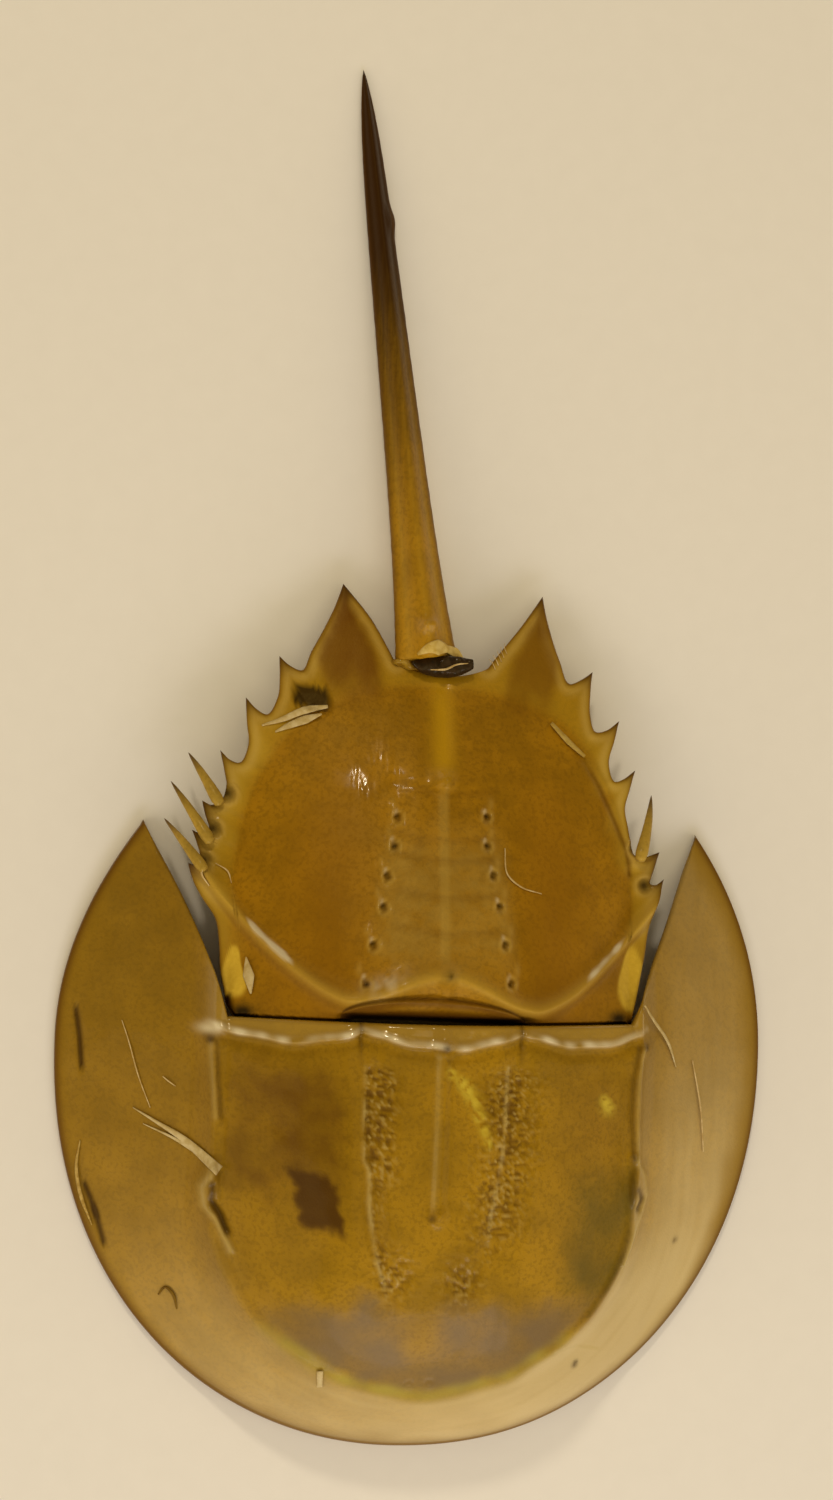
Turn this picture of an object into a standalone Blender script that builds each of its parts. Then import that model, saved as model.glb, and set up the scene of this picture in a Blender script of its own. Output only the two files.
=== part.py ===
"""The dried back shell of a horseshoe crab: front shield, rear shield, tail spine and four loose side spines.

Metres. x = 0 is the midline of the front shield, +Y points to the tail, z = 0 is the surface the shell lies on.
"""
import math

import bmesh
import bpy
from mathutils import Matrix, Vector

MM = 0.001

# Front shield (prosoma): plan outline, a superellipse about its widest line
SHIELD_HALF_WIDTH = 66.0 * MM
SHIELD_WIDEST_Y = -54.0 * MM
SHIELD_FRONT = 72.6 * MM
SHIELD_REAR = 65.9 * MM
SHIELD_POWER = 2.1
SHIELD_HEIGHT = 35.0 * MM
LOBE_TIP_ANGLE = math.radians(127.4)
CORNER_ANGLE = math.radians(43.0)
HINGE_Y = -47.0 * MM
HINGE_HALF_WIDTH = 37.0 * MM
LOBE_BULGE_LEFT = 1.4 * MM
LOBE_BULGE_RIGHT = 0.5 * MM
LOBE_PINCH = 1.2 * MM
LOBE_LEAN = 0.8 * MM

# Shell wall and the flat rim folded under it (doublure)
WALL = 1.3 * MM
RIM_THICKNESS = 1.5 * MM
FOLD_WIDTH_SIDE = 9.0 * MM
FOLD_WIDTH_FRONT = 13.0 * MM
LIP_THICKNESS = 2.1 * MM
GAP = 0.35 * MM

# Relief of the front shield
VAULT_HALF_WIDTH = 38.7 * MM
VAULT_START_Y = -82.0 * MM
VAULT_FRONT = 33.3 * MM
RIDGE_HEIGHT = 1.1 * MM
FLANK_DROP = 2.1 * MM
EYE = Vector((39.6, -77.0)) * MM
EYE_HALF_SIZE = Vector((1.7, 3.1)) * MM
EYE_HEIGHT = 1.7 * MM
KEEL_END_Y = -81.0 * MM
KEEL_HEIGHT = 0.8 * MM
FURROW_X = 14.0 * MM
FURROW_END_Y = -95.0 * MM
FURROW_DEPTH = 0.8 * MM
LIP_SPINES = [(-40.0, -51.4), (0.0, -51.3), (40.0, -51.4)]

# Rear shield (opisthosoma), in its own frame: X to the right, Y to the tail from the hinge, turned by its yaw
REAR_YAW = math.radians(-2.3)
REAR_ORIGIN = Vector((-0.1 * MM, HINGE_Y))
BORDER_HALF_WIDTH = 36.9 * MM
BORDER_START_Y = 18.0 * MM
BORDER_LENGTH = 42.0 * MM
BORDER_POWER = 2.5
MARGIN_Z_FRONT = 17.5 * MM
MARGIN_Z_REAR = 8.0 * MM
MARGIN_LENGTH = 75.0 * MM
MARGIN_SLOPE = 0.22
TUCK = 1.2 * MM
CREST_Y_CENTRE = 8.8 * MM
CREST_Y_DIP = 3.4 * MM
CREST_DIP_X = 17.0 * MM
CREST_RISE = 1.3 * MM
FRONT_SPINE_Y = 8.8 * MM
REAR_SPINE_Y = 43.4 * MM
PITS = [(7.9, 35.7), (8.4, 31.0), (9.7, 25.6), (10.8, 20.6), (11.8, 13.0), (13.6, 6.6)]
PIT_DEPTH = 1.1 * MM
PIT_RADIUS = 0.8 * MM
AXIS_RISE = 0.9 * MM

# Rear shield margin, (side distance, Y) in millimetres from the tail notch round to the front corner.
# T is a spine tip, N the bottom of a notch, E a point along an edge.
LEFT_MARGIN = [
    ("N", 8.9, 64.2), ("E", 10.6, 67.2), ("E", 13.6, 72.0),
    ("T", 18.8, 78.0), ("E", 20.2, 73.9), ("E", 22.4, 69.0), ("E", 24.4, 65.0), ("N", 26.0, 61.5), ("E", 28.4, 62.3),
    ("T", 30.2, 63.8), ("E", 30.0, 60.0), ("E", 30.2, 56.4), ("N", 32.0, 53.0), ("E", 33.9, 53.8),
    ("T", 36.0, 55.8), ("E", 35.6, 51.2), ("E", 35.2, 47.2), ("N", 36.6, 43.9), ("E", 38.7, 44.5),
    ("T", 40.2, 45.9), ("E", 39.3, 42.4), ("E", 38.8, 39.3), ("N", 39.6, 36.8), ("E", 41.4, 35.9),
    ("T", 43.0, 36.6), ("E", 42.2, 33.8), ("E", 41.4, 31.6), ("N", 41.6, 30.0), ("E", 42.9, 30.0),
    ("T", 44.5, 31.2), ("E", 43.5, 28.8), ("N", 42.9, 26.2), ("E", 43.8, 25.0),
    ("T", 45.0, 25.2), ("E", 43.6, 21.6), ("E", 42.0, 19.0), ("E", 39.6, 15.6),
    ("E", 38.7, 11.0), ("E", 38.4, 6.5), ("E", 37.6, 3.0),
]
RIGHT_MARGIN = [
    ("N", 8.4, 64.4), ("E", 10.3, 67.0), ("E", 14.4, 72.3),
    ("T", 18.6, 78.5), ("E", 19.3, 74.9), ("E", 20.6, 70.5), ("E", 22.0, 66.7), ("N", 23.8, 62.7), ("E", 26.3, 63.7),
    ("T", 28.3, 65.2), ("E", 28.0, 61.4), ("E", 28.0, 57.2), ("N", 29.0, 54.2), ("E", 31.2, 54.6),
    ("T", 33.6, 56.5), ("E", 32.8, 52.8), ("E", 31.7, 48.6), ("N", 32.8, 45.3), ("E", 34.6, 45.8),
    ("T", 36.9, 47.6), ("E", 36.0, 44.0), ("E", 35.1, 40.6), ("N", 35.7, 37.2), ("E", 36.4, 34.2),
    ("E", 37.4, 31.9), ("E", 39.6, 31.2),
    ("T", 42.2, 32.9), ("E", 41.3, 29.8), ("N", 40.6, 27.0), ("E", 41.7, 26.9),
    ("T", 43.2, 28.0), ("E", 42.4, 25.0), ("E", 41.6, 22.6), ("E", 40.6, 18.6),
    ("E", 39.9, 14.0), ("E", 39.0, 9.6), ("E", 38.2, 6.0), ("E", 37.4, 3.0),
]

# Tail spine (telson), straight, from its base in the tail notch to the tip on the floor
TELSON_BASE = Vector((-0.8, 18.2, 9.4)) * MM
TELSON_TIP = Vector((-14.6, 126.6, 0.55)) * MM
TELSON_KNOB_LENGTH = 5.0 * MM
TELSON_KINK = 28.7 * MM

# Loose side spines: base and tip in the rear shield's frame, and the radius at the base
LOOSE_SPINES = {
    "movable_spine_left_rear": ((-40.1, 36.3), (-45.6, 45.1, 6.6), 1.25),
    "movable_spine_left_mid": ((-41.4, 29.3), (-48.4, 39.7, 6.4), 1.25),
    "movable_spine_left_front": ((-42.4, 24.3), (-49.2, 32.9, 6.8), 1.15),
    "movable_spine_right": ((37.9, 31.4), (41.1, 43.3, 6.4), 1.3),
}


def mix(a, b, share):
    return a + (b - a) * share


def smooth(low, high, value):
    """Rises from 0 to 1 between low and high."""
    share = min(1.0, max(0.0, (value - low) / (high - low)))
    return share * share * (3.0 - 2.0 * share)


def bell(distance, width):
    return math.exp(-(distance / width) ** 2)


def rim_point(angle):
    """A point of the front shield's rim; angle 0 is the front, positive to the right."""
    side = math.copysign(abs(math.sin(angle)) ** (2.0 / SHIELD_POWER), angle)
    reach = abs(math.cos(angle)) ** (2.0 / SHIELD_POWER)
    length = -SHIELD_FRONT if math.cos(angle) > 0.0 else SHIELD_REAR
    toward_tip = smooth(0.72, 1.0, abs(angle) / LOBE_TIP_ANGLE)
    across = SHIELD_HALF_WIDTH * side - math.copysign(LOBE_PINCH, angle) * toward_tip
    return Vector((across + LOBE_LEAN * toward_tip, SHIELD_WIDEST_Y + length * reach))


def inner_point(angle):
    """The start of the meridian that ends at rim_point(angle): on the hinge edge or on a lobe's inner margin."""
    if abs(angle) <= CORNER_ANGLE:
        share = rim_point(angle).x / rim_point(CORNER_ANGLE).x
        return Vector((HINGE_HALF_WIDTH * share, HINGE_Y))
    along = (abs(angle) - CORNER_ANGLE) / (LOBE_TIP_ANGLE - CORNER_ANGLE)
    corner = Vector((math.copysign(HINGE_HALF_WIDTH, angle), HINGE_Y))
    point = corner.lerp(rim_point(math.copysign(LOBE_TIP_ANGLE, angle)), along)
    bulge = LOBE_BULGE_LEFT if angle < 0.0 else LOBE_BULGE_RIGHT
    point.x += bulge * math.sin(math.pi * along)
    return point


def front_share(x, y):
    """1 straight ahead of the widest line, 0 at the sides and behind it."""
    if y >= SHIELD_WIDEST_Y:
        return 0.0
    across = x / SHIELD_HALF_WIDTH
    ahead = (SHIELD_WIDEST_Y - y) / SHIELD_FRONT
    return smooth(0.0, 1.0, ahead * ahead / (across * across + ahead * ahead + 1e-12))


def dome(x, y):
    """Height of the front shield without its relief: steep at the front, a thin flange at the sides."""
    length = SHIELD_REAR if y > SHIELD_WIDEST_Y else SHIELD_FRONT
    across = abs(x) / SHIELD_HALF_WIDTH
    along = abs(y - SHIELD_WIDEST_Y) / length
    radius = min(1.0, (across ** SHIELD_POWER + along ** SHIELD_POWER) ** (1.0 / SHIELD_POWER))
    front = front_share(x, y)
    body = (1.0 - radius ** (1.9 + 0.7 * front)) ** (1.25 - 0.63 * front)
    return RIM_THICKNESS + (SHIELD_HEIGHT - RIM_THICKNESS) * body


def vault_distance(x, y):
    """Distance outward from the ridge line that bounds the raised middle of the front shield."""
    across = abs(x) / VAULT_HALF_WIDTH
    ahead = max(0.0, (VAULT_START_Y - y) / VAULT_FRONT)
    return ((across ** 1.85 + ahead ** 1.85) ** (1.0 / 1.85) - 1.0) * VAULT_HALF_WIDTH


def furrow_x(y):
    lead = max(0.0, HINGE_Y - y)
    return FURROW_X - 0.075 * lead - 4.0 * MM * smooth(34.0 * MM, 50.0 * MM, lead)


def shield_relief(x, y):
    """Ridges, keel, furrows, eyes and small spines on the front shield."""
    out = vault_distance(x, y)
    behind_front = smooth(-118.0 * MM, -104.0 * MM, y)
    height = RIDGE_HEIGHT * bell(out, 1.3 * MM) * smooth(-116.0 * MM, -100.0 * MM, y)
    height -= FLANK_DROP * smooth(0.0, 4.5 * MM, out) * bell(out, 17.0 * MM) * behind_front
    turned = ((abs(x) - EYE.x) / EYE_HALF_SIZE.x) ** 2 + ((y - EYE.y) / EYE_HALF_SIZE.y) ** 2
    height += EYE_HEIGHT * max(0.0, 1.0 - 0.5 * turned)
    height += KEEL_HEIGHT * bell(x, 1.1 * MM) * smooth(KEEL_END_Y - 3.0 * MM, KEEL_END_Y + 2.0 * MM, y)
    height += 0.9 * MM * bell(math.hypot(x, y - KEEL_END_Y), 1.5 * MM)
    furrow = bell(abs(x) - furrow_x(y), 1.9 * MM) * smooth(FURROW_END_Y - 4.0 * MM, FURROW_END_Y + 10.0 * MM, y)
    height -= FURROW_DEPTH * furrow
    height += 0.5 * MM * bell(y - (HINGE_Y - 2.4 * MM), 1.4 * MM) * smooth(0.0, 3.0 * MM, HINGE_HALF_WIDTH - abs(x))
    for spine_x, spine_y in LIP_SPINES:
        height += 1.1 * MM * bell(math.hypot(x - spine_x * MM, y - spine_y * MM), 1.4 * MM)
    return height


def shield_top(x, y):
    """Height of the front shield's upper skin."""
    room = smooth(RIM_THICKNESS, 6.0 * MM, dome(x, y))
    return dome(x, y) + shield_relief(x, y) * room


def under(top, point, wall):
    """The point of the inner skin under a point of the upper skin, one wall away along its normal."""
    step = 0.4 * MM
    slope_x = (top(point.x + step, point.y) - top(point.x - step, point.y)) / (2.0 * step)
    slope_y = (top(point.x, point.y + step) - top(point.x, point.y - step)) / (2.0 * step)
    normal = Vector((-slope_x, -slope_y, 1.0)).normalized()
    return Vector((point.x, point.y, top(point.x, point.y))) - normal * wall


UPPER_ROWS = [0.05, 0.10, 0.16, 0.22, 0.29, 0.36, 0.43, 0.50, 0.58, 0.66, 0.74, 0.81, 0.87, 0.92, 0.96]
LOWER_ROWS = [0.94, 0.87, 0.78, 0.66, 0.53, 0.40, 0.27, 0.15]


def shield_section(angle):
    """One closed loop through the front shield's wall along a meridian, from the rear lip to the rim and back."""
    start = inner_point(angle)
    end = rim_point(angle)
    length = (end - start).length
    along = (end - start) / length
    scale = min(1.0, length / (14.0 * MM))
    front = front_share(end.x, end.y)
    fold = min(mix(FOLD_WIDTH_SIDE, FOLD_WIDTH_FRONT, front), 0.55 * length)
    groove = min(mix(3.6, 1.4, front) * MM, 0.2 * length)

    def skin(distance, lift=0.0):
        point = start + along * distance
        return Vector((point.x, point.y, shield_top(point.x, point.y) + lift))

    def floor_point(distance, z):
        point = start + along * distance
        return Vector((point.x, point.y, z))

    def inner_skin(distance):
        point = start + along * distance
        return under(shield_top, point, min(WALL, 0.35 * shield_top(point.x, point.y)))

    lip = min(LIP_THICKNESS, 0.55 * skin(0.0).z)
    groove_top = skin(length - groove).z
    loop = [skin(0.7 * MM * scale)]
    loop += [skin(length * share) for share in UPPER_ROWS]
    loop += [skin(length - 0.5 * MM * scale), floor_point(length, 0.45 * RIM_THICKNESS)]
    loop += [floor_point(length - 0.4 * MM * scale, 0.0), floor_point(length - fold, 0.0)]
    loop += [floor_point(length - fold - 0.5 * MM * scale, 0.16 * groove_top)]
    loop += [floor_point(length - fold, min(1.2 * MM, 0.33 * groove_top))]
    loop += [floor_point(length - groove, min(1.2 * MM, 0.33 * groove_top)), inner_skin(length - groove)]
    near_lip = 4.2 * MM * scale
    for share in LOWER_ROWS:
        if near_lip < length * share < length - groove * 1.15:
            loop.append(inner_skin(length * share))
        else:
            side = near_lip + 0.3 * MM * scale if length * share <= near_lip else length - groove * 1.2
            loop.append(inner_skin(side + length * share * 0.01))
    loop += [inner_skin(near_lip), skin(3.4 * MM * scale, -lip), skin(0.6 * MM * scale, -lip)]
    loop += [skin(0.0, -0.5 * lip)]
    return loop


def rolled_plate(loops, first_end, last_end):
    """A closed plate: a flat grid is rolled so that each column becomes one loop, and its ends close to points."""
    bm = bmesh.new()
    columns = len(loops)
    rows = len(loops[0])
    bmesh.ops.create_grid(bm, x_segments=columns - 1, y_segments=rows, size=1.0)
    bm.verts.ensure_lookup_table()
    for index, vert in enumerate(bm.verts):
        vert.co = loops[index % columns][(index // columns) % rows]
    bmesh.ops.remove_doubles(bm, verts=bm.verts, dist=1e-7)
    rims = bmesh.ops.holes_fill(bm, edges=[edge for edge in bm.edges if edge.is_boundary], sides=0)["faces"]
    for rim in rims:
        centre = rim.calc_center_median()
        near_first = (centre - first_end).length < (centre - last_end).length
        poked = bmesh.ops.poke(bm, faces=[rim])
        poked["verts"][0].co = first_end if near_first else last_end
    bmesh.ops.recalc_face_normals(bm, faces=bm.faces)
    return bm


def finish(name, bm, material):
    """Turns a closed plate into a named object with its own material."""
    bmesh.ops.triangulate(bm, faces=bm.faces)
    mesh = bpy.data.meshes.new(name)
    bm.to_mesh(mesh)
    bm.free()
    mesh.materials.append(material)
    mesh.shade_smooth()
    piece = bpy.data.objects.new(name, mesh)
    bpy.context.scene.collection.objects.link(piece)
    return piece


def plastic(name, colour, roughness):
    """The hard, glossy skin of the shell in one colour."""
    material = bpy.data.materials.new(name)
    material.use_nodes = True
    shader = material.node_tree.nodes["Principled BSDF"]
    shader.inputs["Base Color"].default_value = (*colour, 1.0)
    shader.inputs["Roughness"].default_value = roughness
    shader.inputs["Metallic"].default_value = 0.0
    return material


def front_shield():
    """The prosoma, with a meridian on each ridge and furrow and more of them in the rear lobes."""
    hinge_stops = [0.0, 1.2, 3.4, 6.6, 9.6, 11.8, 13.3, 14.8, 17.2, 21.0, 25.0, 29.0, 32.4, 35.0, 36.5]
    corner_x = rim_point(CORNER_ANGLE).x
    angles = []
    for stop in hinge_stops:
        share = stop * MM / HINGE_HALF_WIDTH * corner_x / SHIELD_HALF_WIDTH
        angles.append(math.asin(share ** (SHIELD_POWER / 2.0)))
    lobe_shares = [0.01, 0.04, 0.08, 0.13, 0.19, 0.26, 0.34, 0.42, 0.50, 0.58, 0.66, 0.74, 0.81, 0.87, 0.92, 0.96]
    angles += [mix(CORNER_ANGLE, LOBE_TIP_ANGLE, share) for share in lobe_shares]
    ordered = [-angle for angle in reversed(angles[1:])] + angles
    tips = [rim_point(angle).to_3d() + Vector((0.0, 0.4, 0.5)) * MM for angle in (-LOBE_TIP_ANGLE, LOBE_TIP_ANGLE)]
    loops = [shield_section(angle) for angle in ordered]
    return finish("prosoma", rolled_plate(loops, *tips), plastic("shield_amber", (0.26, 0.15, 0.02), 0.3))


def to_shell(x, y):
    """Rear shield plan coordinates to the shell's."""
    turn = Matrix.Rotation(REAR_YAW, 2)
    return REAR_ORIGIN + turn @ Vector((x, y))


def to_rear(x, y):
    turn = Matrix.Rotation(-REAR_YAW, 2)
    return turn @ (Vector((x, y)) - REAR_ORIGIN)


def border_point(progress):
    """The edge of the rear shield's dome: 0 at the tail notch, 1 at its widest, 2 at the front corner."""
    if progress <= 1.0:
        angle = progress * math.pi / 2.0
        across = BORDER_HALF_WIDTH * math.sin(angle) ** (2.0 / BORDER_POWER)
        return Vector((across, BORDER_START_Y + BORDER_LENGTH * math.cos(angle) ** (2.0 / BORDER_POWER)))
    ahead = progress - 1.0
    return Vector((BORDER_HALF_WIDTH - 0.8 * MM * ahead, BORDER_START_Y - (BORDER_START_Y - 2.0 * MM) * ahead))


def border_radius(x, y):
    """1 on the border of the dome, 0 in its middle."""
    across = abs(x) / BORDER_HALF_WIDTH
    back = max(0.0, (y - BORDER_START_Y) / BORDER_LENGTH)
    return (across ** BORDER_POWER + back ** BORDER_POWER) ** (1.0 / BORDER_POWER)


def crest_y(x):
    """The line of the cross ridge behind the hinge: a low peak in the middle, sweeping back at both sides."""
    across = abs(x)
    middle = mix(CREST_Y_CENTRE, CREST_Y_DIP, smooth(0.0, CREST_DIP_X, across))
    return middle + 19.0 * MM * max(0.0, (across - CREST_DIP_X) / (24.0 * MM)) ** 1.5


def rear_dome(x, y):
    """Height of the rear shield without its relief and behind its cross ridge."""
    edge = mix(MARGIN_Z_FRONT, MARGIN_Z_REAR, y / MARGIN_LENGTH)
    rise = mix(17.0, 9.0, smooth(2.0 * MM, 42.0 * MM, y)) * MM
    radius = border_radius(x, y)
    beyond = max(0.0, radius - 1.0) * BORDER_HALF_WIDTH
    return edge + rise * max(0.0, 1.0 - radius ** 2.2) - MARGIN_SLOPE * beyond


def rear_relief(x, y):
    """Middle axis, keel spines and cross ridge of the rear shield."""
    across = abs(x)
    pit_line = 7.6 * MM + 0.17 * max(0.0, 38.0 * MM - y)
    height = AXIS_RISE * smooth(pit_line + 2.0 * MM, pit_line - 3.0 * MM, across) * smooth(56.0 * MM, 40.0 * MM, y)
    height += 0.7 * MM * bell(x, 1.1 * MM) * smooth(50.0 * MM, 42.0 * MM, y)
    height += 1.5 * MM * bell(math.hypot(x, y - FRONT_SPINE_Y), 1.7 * MM)
    height += 2.0 * MM * bell(math.hypot(x, y - REAR_SPINE_Y), 1.8 * MM)
    height += CREST_RISE * bell(y - crest_y(x), 1.9 * MM)
    return height


def rear_top(shell_x, shell_y):
    """Height of the rear shield's upper skin, in the shell's coordinates."""
    x, y = to_rear(shell_x, shell_y)
    ridge = crest_y(x)
    tucked = dome(shell_x, HINGE_Y) - LIP_THICKNESS - GAP - 0.35 * MM
    tucked -= 1.2 * MM * smooth(17.5 * MM, 14.5 * MM, abs(x))
    open_y = HINGE_Y + 0.5 * MM
    hinge_y_here = to_rear(shell_x, open_y).y
    behind = rear_dome(x, max(y, 0.0)) + rear_relief(x, y)
    share = smooth(0.0, 1.0, (y - hinge_y_here) / max(1.5 * MM, ridge - hinge_y_here))
    return mix(min(tucked, behind + 3.0 * MM), behind, share ** 0.7)


def margin_columns(margin, side):
    """Plan points for each margin point: on the hinge, on the border of the dome and on the margin."""
    points = [Vector((across, back)) * MM for _kind, across, back in margin]
    notches = [index for index, entry in enumerate(margin) if entry[0] == "N"]
    progress = {}
    for index in notches:
        across = (points[index].x / BORDER_HALF_WIDTH) ** (BORDER_POWER / 2.0)
        back = max(0.0, (points[index].y - BORDER_START_Y) / BORDER_LENGTH) ** (BORDER_POWER / 2.0)
        progress[index] = math.atan2(across, back) / (math.pi / 2.0)
    progress[len(points) - 1] = 1.94
    stops = sorted(progress)
    columns = []
    for first, last in zip(stops, stops[1:]):
        steps = [(points[i + 1] - points[i]).length for i in range(first, last)]
        for index in range(first, last):
            share = sum(steps[:index - first]) / sum(steps)
            columns.append((mix(progress[first], progress[last], share), points[index]))
    columns.append((progress[len(points) - 1], points[-1]))
    result = []
    for value, edge in columns:
        border = border_point(value)
        hinge_x = 0.86 * border.x if value <= 1.0 else mix(0.86, 0.985, value - 1.0) * border.x
        hinge = Vector((side * hinge_x + REAR_ORIGIN.x, HINGE_Y - TUCK))
        result.append((hinge, to_shell(side * border.x, border.y), to_shell(side * edge.x, edge.y)))
    return result


def crest_share(hinge, border):
    """How far along a meridian the cross ridge lies, at most four fifths."""
    low, high = 0.0, 0.8
    for _step in range(20):
        middle = 0.5 * (low + high)
        x, y = to_rear(*hinge.lerp(border, middle))
        if y < crest_y(x):
            low = middle
        else:
            high = middle
    return high


def press_pits(bm):
    """Presses the two rows of muscle pits into the upper skin: a grid point is cut to a small face and sunk."""
    for side in (-1.0, 1.0):
        for pit_x, pit_y in PITS:
            plan = to_shell(side * pit_x * MM, pit_y * MM)
            place = Vector((plan.x, plan.y, rear_top(plan.x, plan.y)))
            nearest = min(bm.verts, key=lambda vert: (vert.co - place).length)
            nearest.co = place
            cut = bmesh.ops.bevel(bm, geom=[nearest], offset=PIT_RADIUS, offset_type="OFFSET", segments=1,
                                  profile=0.5, affect="VERTICES", material=-1)
            centre = bmesh.ops.poke(bm, faces=cut["faces"])["verts"][0]
            centre.co.z -= PIT_DEPTH


def rear_section(hinge, border, edge):
    """One closed loop through the rear shield's wall, from the tucked front edge to the margin and back."""
    band = (edge - border).length
    thin = min(1.0, band / (4.0 * MM))

    def skin(point, lift=0.0):
        return Vector((point.x, point.y, rear_top(point.x, point.y) + lift))

    crest = crest_share(hinge, border)
    upper = [0.0, 0.35 * crest, 0.75 * crest, crest]
    upper += [mix(crest, 1.0, share) for share in (0.05, 0.16, 0.29, 0.43, 0.57, 0.72, 0.87)]
    lower = [0.86, 0.68, 0.50, 0.33, 0.19, 0.08]
    loop = [skin(hinge.lerp(border, share)) for share in upper]
    loop += [skin(border.lerp(edge, share)) for share in (0.0, 0.35, 0.7)]
    margin_z = skin(edge).z - 0.25 * MM
    loop += [Vector((edge.x, edge.y, margin_z))]
    loop += [skin(border.lerp(edge, 0.7), -1.2 * MM * thin), skin(border.lerp(edge, 0.2), -1.9 * MM)]
    loop += [skin(hinge.lerp(border, 0.96), -1.9 * MM)]
    loop += [skin(hinge.lerp(border, share), -WALL) for share in lower]
    loop += [skin(hinge.lerp(border, 0.01), -0.9 * MM)]
    return loop


def rear_shield():
    """The opisthosoma, with a meridian to each tip, notch and edge point of its margin."""
    left = margin_columns(LEFT_MARGIN, -1.0)
    right = margin_columns(RIGHT_MARGIN, 1.0)
    middle = []
    for share in (-0.75, -0.4, 0.0, 0.4, 0.75):
        side = -1.0 if share < 0.0 else 1.0
        reach = abs(share)
        border = border_point(reach * 0.1)
        edge = Vector((8.6 * MM * reach, 62.4 * MM + 1.6 * MM * reach ** 2))
        hinge = Vector((side * 0.86 * border.x + REAR_ORIGIN.x, HINGE_Y - TUCK))
        middle.append((hinge, to_shell(side * border.x, border.y), to_shell(side * edge.x, edge.y)))
    columns = list(reversed(left)) + middle + right
    loops = [rear_section(*column) for column in columns]
    corners = []
    for column, side in ((columns[0], -1.0), (columns[-1], 1.0)):
        place = column[2] + Vector((-side * 0.3, -2.2)) * MM
        corners.append(Vector((place.x, place.y, rear_top(place.x, place.y) - 0.8 * MM)))
    plate = rolled_plate(loops, *corners)
    press_pits(plate)
    return finish("opisthosoma", plate, plastic("rear_amber", (0.27, 0.14, 0.015), 0.28))


def telson_width(distance):
    """Width of the tail spine at a distance from its tip."""
    share = distance / (110.0 * MM)
    return 3.4 * MM * (1.0 - math.exp(-distance / (9.0 * MM))) + 0.052 * distance + 2.4 * MM * share ** 7


def tail_spine():
    """The telson: a tapered three-sided spike with a keel on top and a knob that lies under the tail notch."""
    axis = TELSON_TIP - TELSON_BASE
    length = axis.length
    ahead = axis.normalized()
    right = ahead.cross(Vector((0.0, 0.0, 1.0))).normalized()
    up = right.cross(ahead)
    shape = [(1.0, -0.10), (0.62, 0.16), (0.16, 0.42), (-0.16, 0.42), (-0.62, 0.16), (-1.0, -0.10),
             (-0.55, -0.34), (0.0, -0.28), (0.55, -0.34)]
    loops = []
    for share in (0.0, 0.10, 0.35, 0.62, 0.86, 1.0):
        centre = TELSON_BASE - ahead * TELSON_KNOB_LENGTH * (1.0 - share) - up * 3.2 * MM * (1.0 - share ** 2)
        half = mix(2.6, 3.6, share) * MM
        loops.append([centre + right * half * side + up * half * 0.75 * top for side, top in shape])
    stations = [0.0, 0.03, 0.07, 0.13, 0.2, 0.28, 0.37, 0.46, 0.55, 0.63, 0.70, 0.735, 0.77, 0.83, 0.89, 0.94, 0.98]
    for share in stations:
        width = telson_width(length * (1.0 - share))
        centre = TELSON_BASE + ahead * (length * share + 0.4 * MM)
        kink = 0.5 * MM * bell(length * (1.0 - share) - TELSON_KINK, 3.0 * MM)
        loop = []
        for side, top in shape:
            reach = width * 0.5 * side + (kink if side > 0.5 else 0.0)
            loop.append(centre + right * reach + up * width * top)
        loops.append(loop)
    base = loops[0][0].lerp(loops[0][5], 0.5) - ahead * 0.6 * MM
    return finish("telson", rolled_plate(loops, base, TELSON_TIP), plastic("telson_brown", (0.2, 0.1, 0.015), 0.35))


def loose_spine(name, base_plan, tip_rear, radius):
    """A side spine: a curved cone with a rounded root that sits on the margin over its notch."""
    root = to_shell(base_plan[0] * MM, base_plan[1] * MM)
    tip_plan = to_shell(tip_rear[0] * MM, tip_rear[1] * MM)
    tip = Vector((tip_plan.x, tip_plan.y, tip_rear[2] * MM))
    start = Vector((root.x, root.y, rear_top(root.x, root.y) + radius * MM + GAP))
    axis = tip - start
    ahead = axis.normalized()
    right = ahead.cross(Vector((0.0, 0.0, 1.0))).normalized()
    up = right.cross(ahead)
    loops = []
    for share in (0.0, 0.05, 0.16, 0.35, 0.58, 0.82):
        swell = mix(0.72, 1.0, smooth(0.0, 0.1, share)) * (1.0 - share) ** 0.7
        centre = start + axis * share + up * 1.1 * MM * math.sin(math.pi * share)
        size = radius * MM * swell
        loop = []
        for step in range(8):
            turn = step * math.pi / 4.0
            loop.append(centre + right * size * math.cos(turn) + up * size * 0.8 * math.sin(turn))
        loops.append(loop)
    base = start - ahead * 0.35 * radius * MM
    return finish(name, rolled_plate(loops, base, tip), plastic(name + "_amber", (0.3, 0.17, 0.02), 0.3))


for old in list(bpy.data.objects):
    bpy.data.objects.remove(old)

front_shield()
rear_shield()
tail_spine()
for spine_name, (spine_base, spine_tip, spine_radius) in LOOSE_SPINES.items():
    loose_spine(spine_name, spine_base, spine_tip, spine_radius)
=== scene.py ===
# %% [markdown]
# The dried back shell of a horseshoe crab, as a lesson in modelling a grown thing.
# The shell has seven hard pieces: a front shield, a rear shield, a tail spine and four loose side spines.
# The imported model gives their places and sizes. Each is made again here as a finer mesh from the same
# measures, so that ridges, pits, spines and wrinkles are real shape, and then it gets its amber finish.

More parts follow.
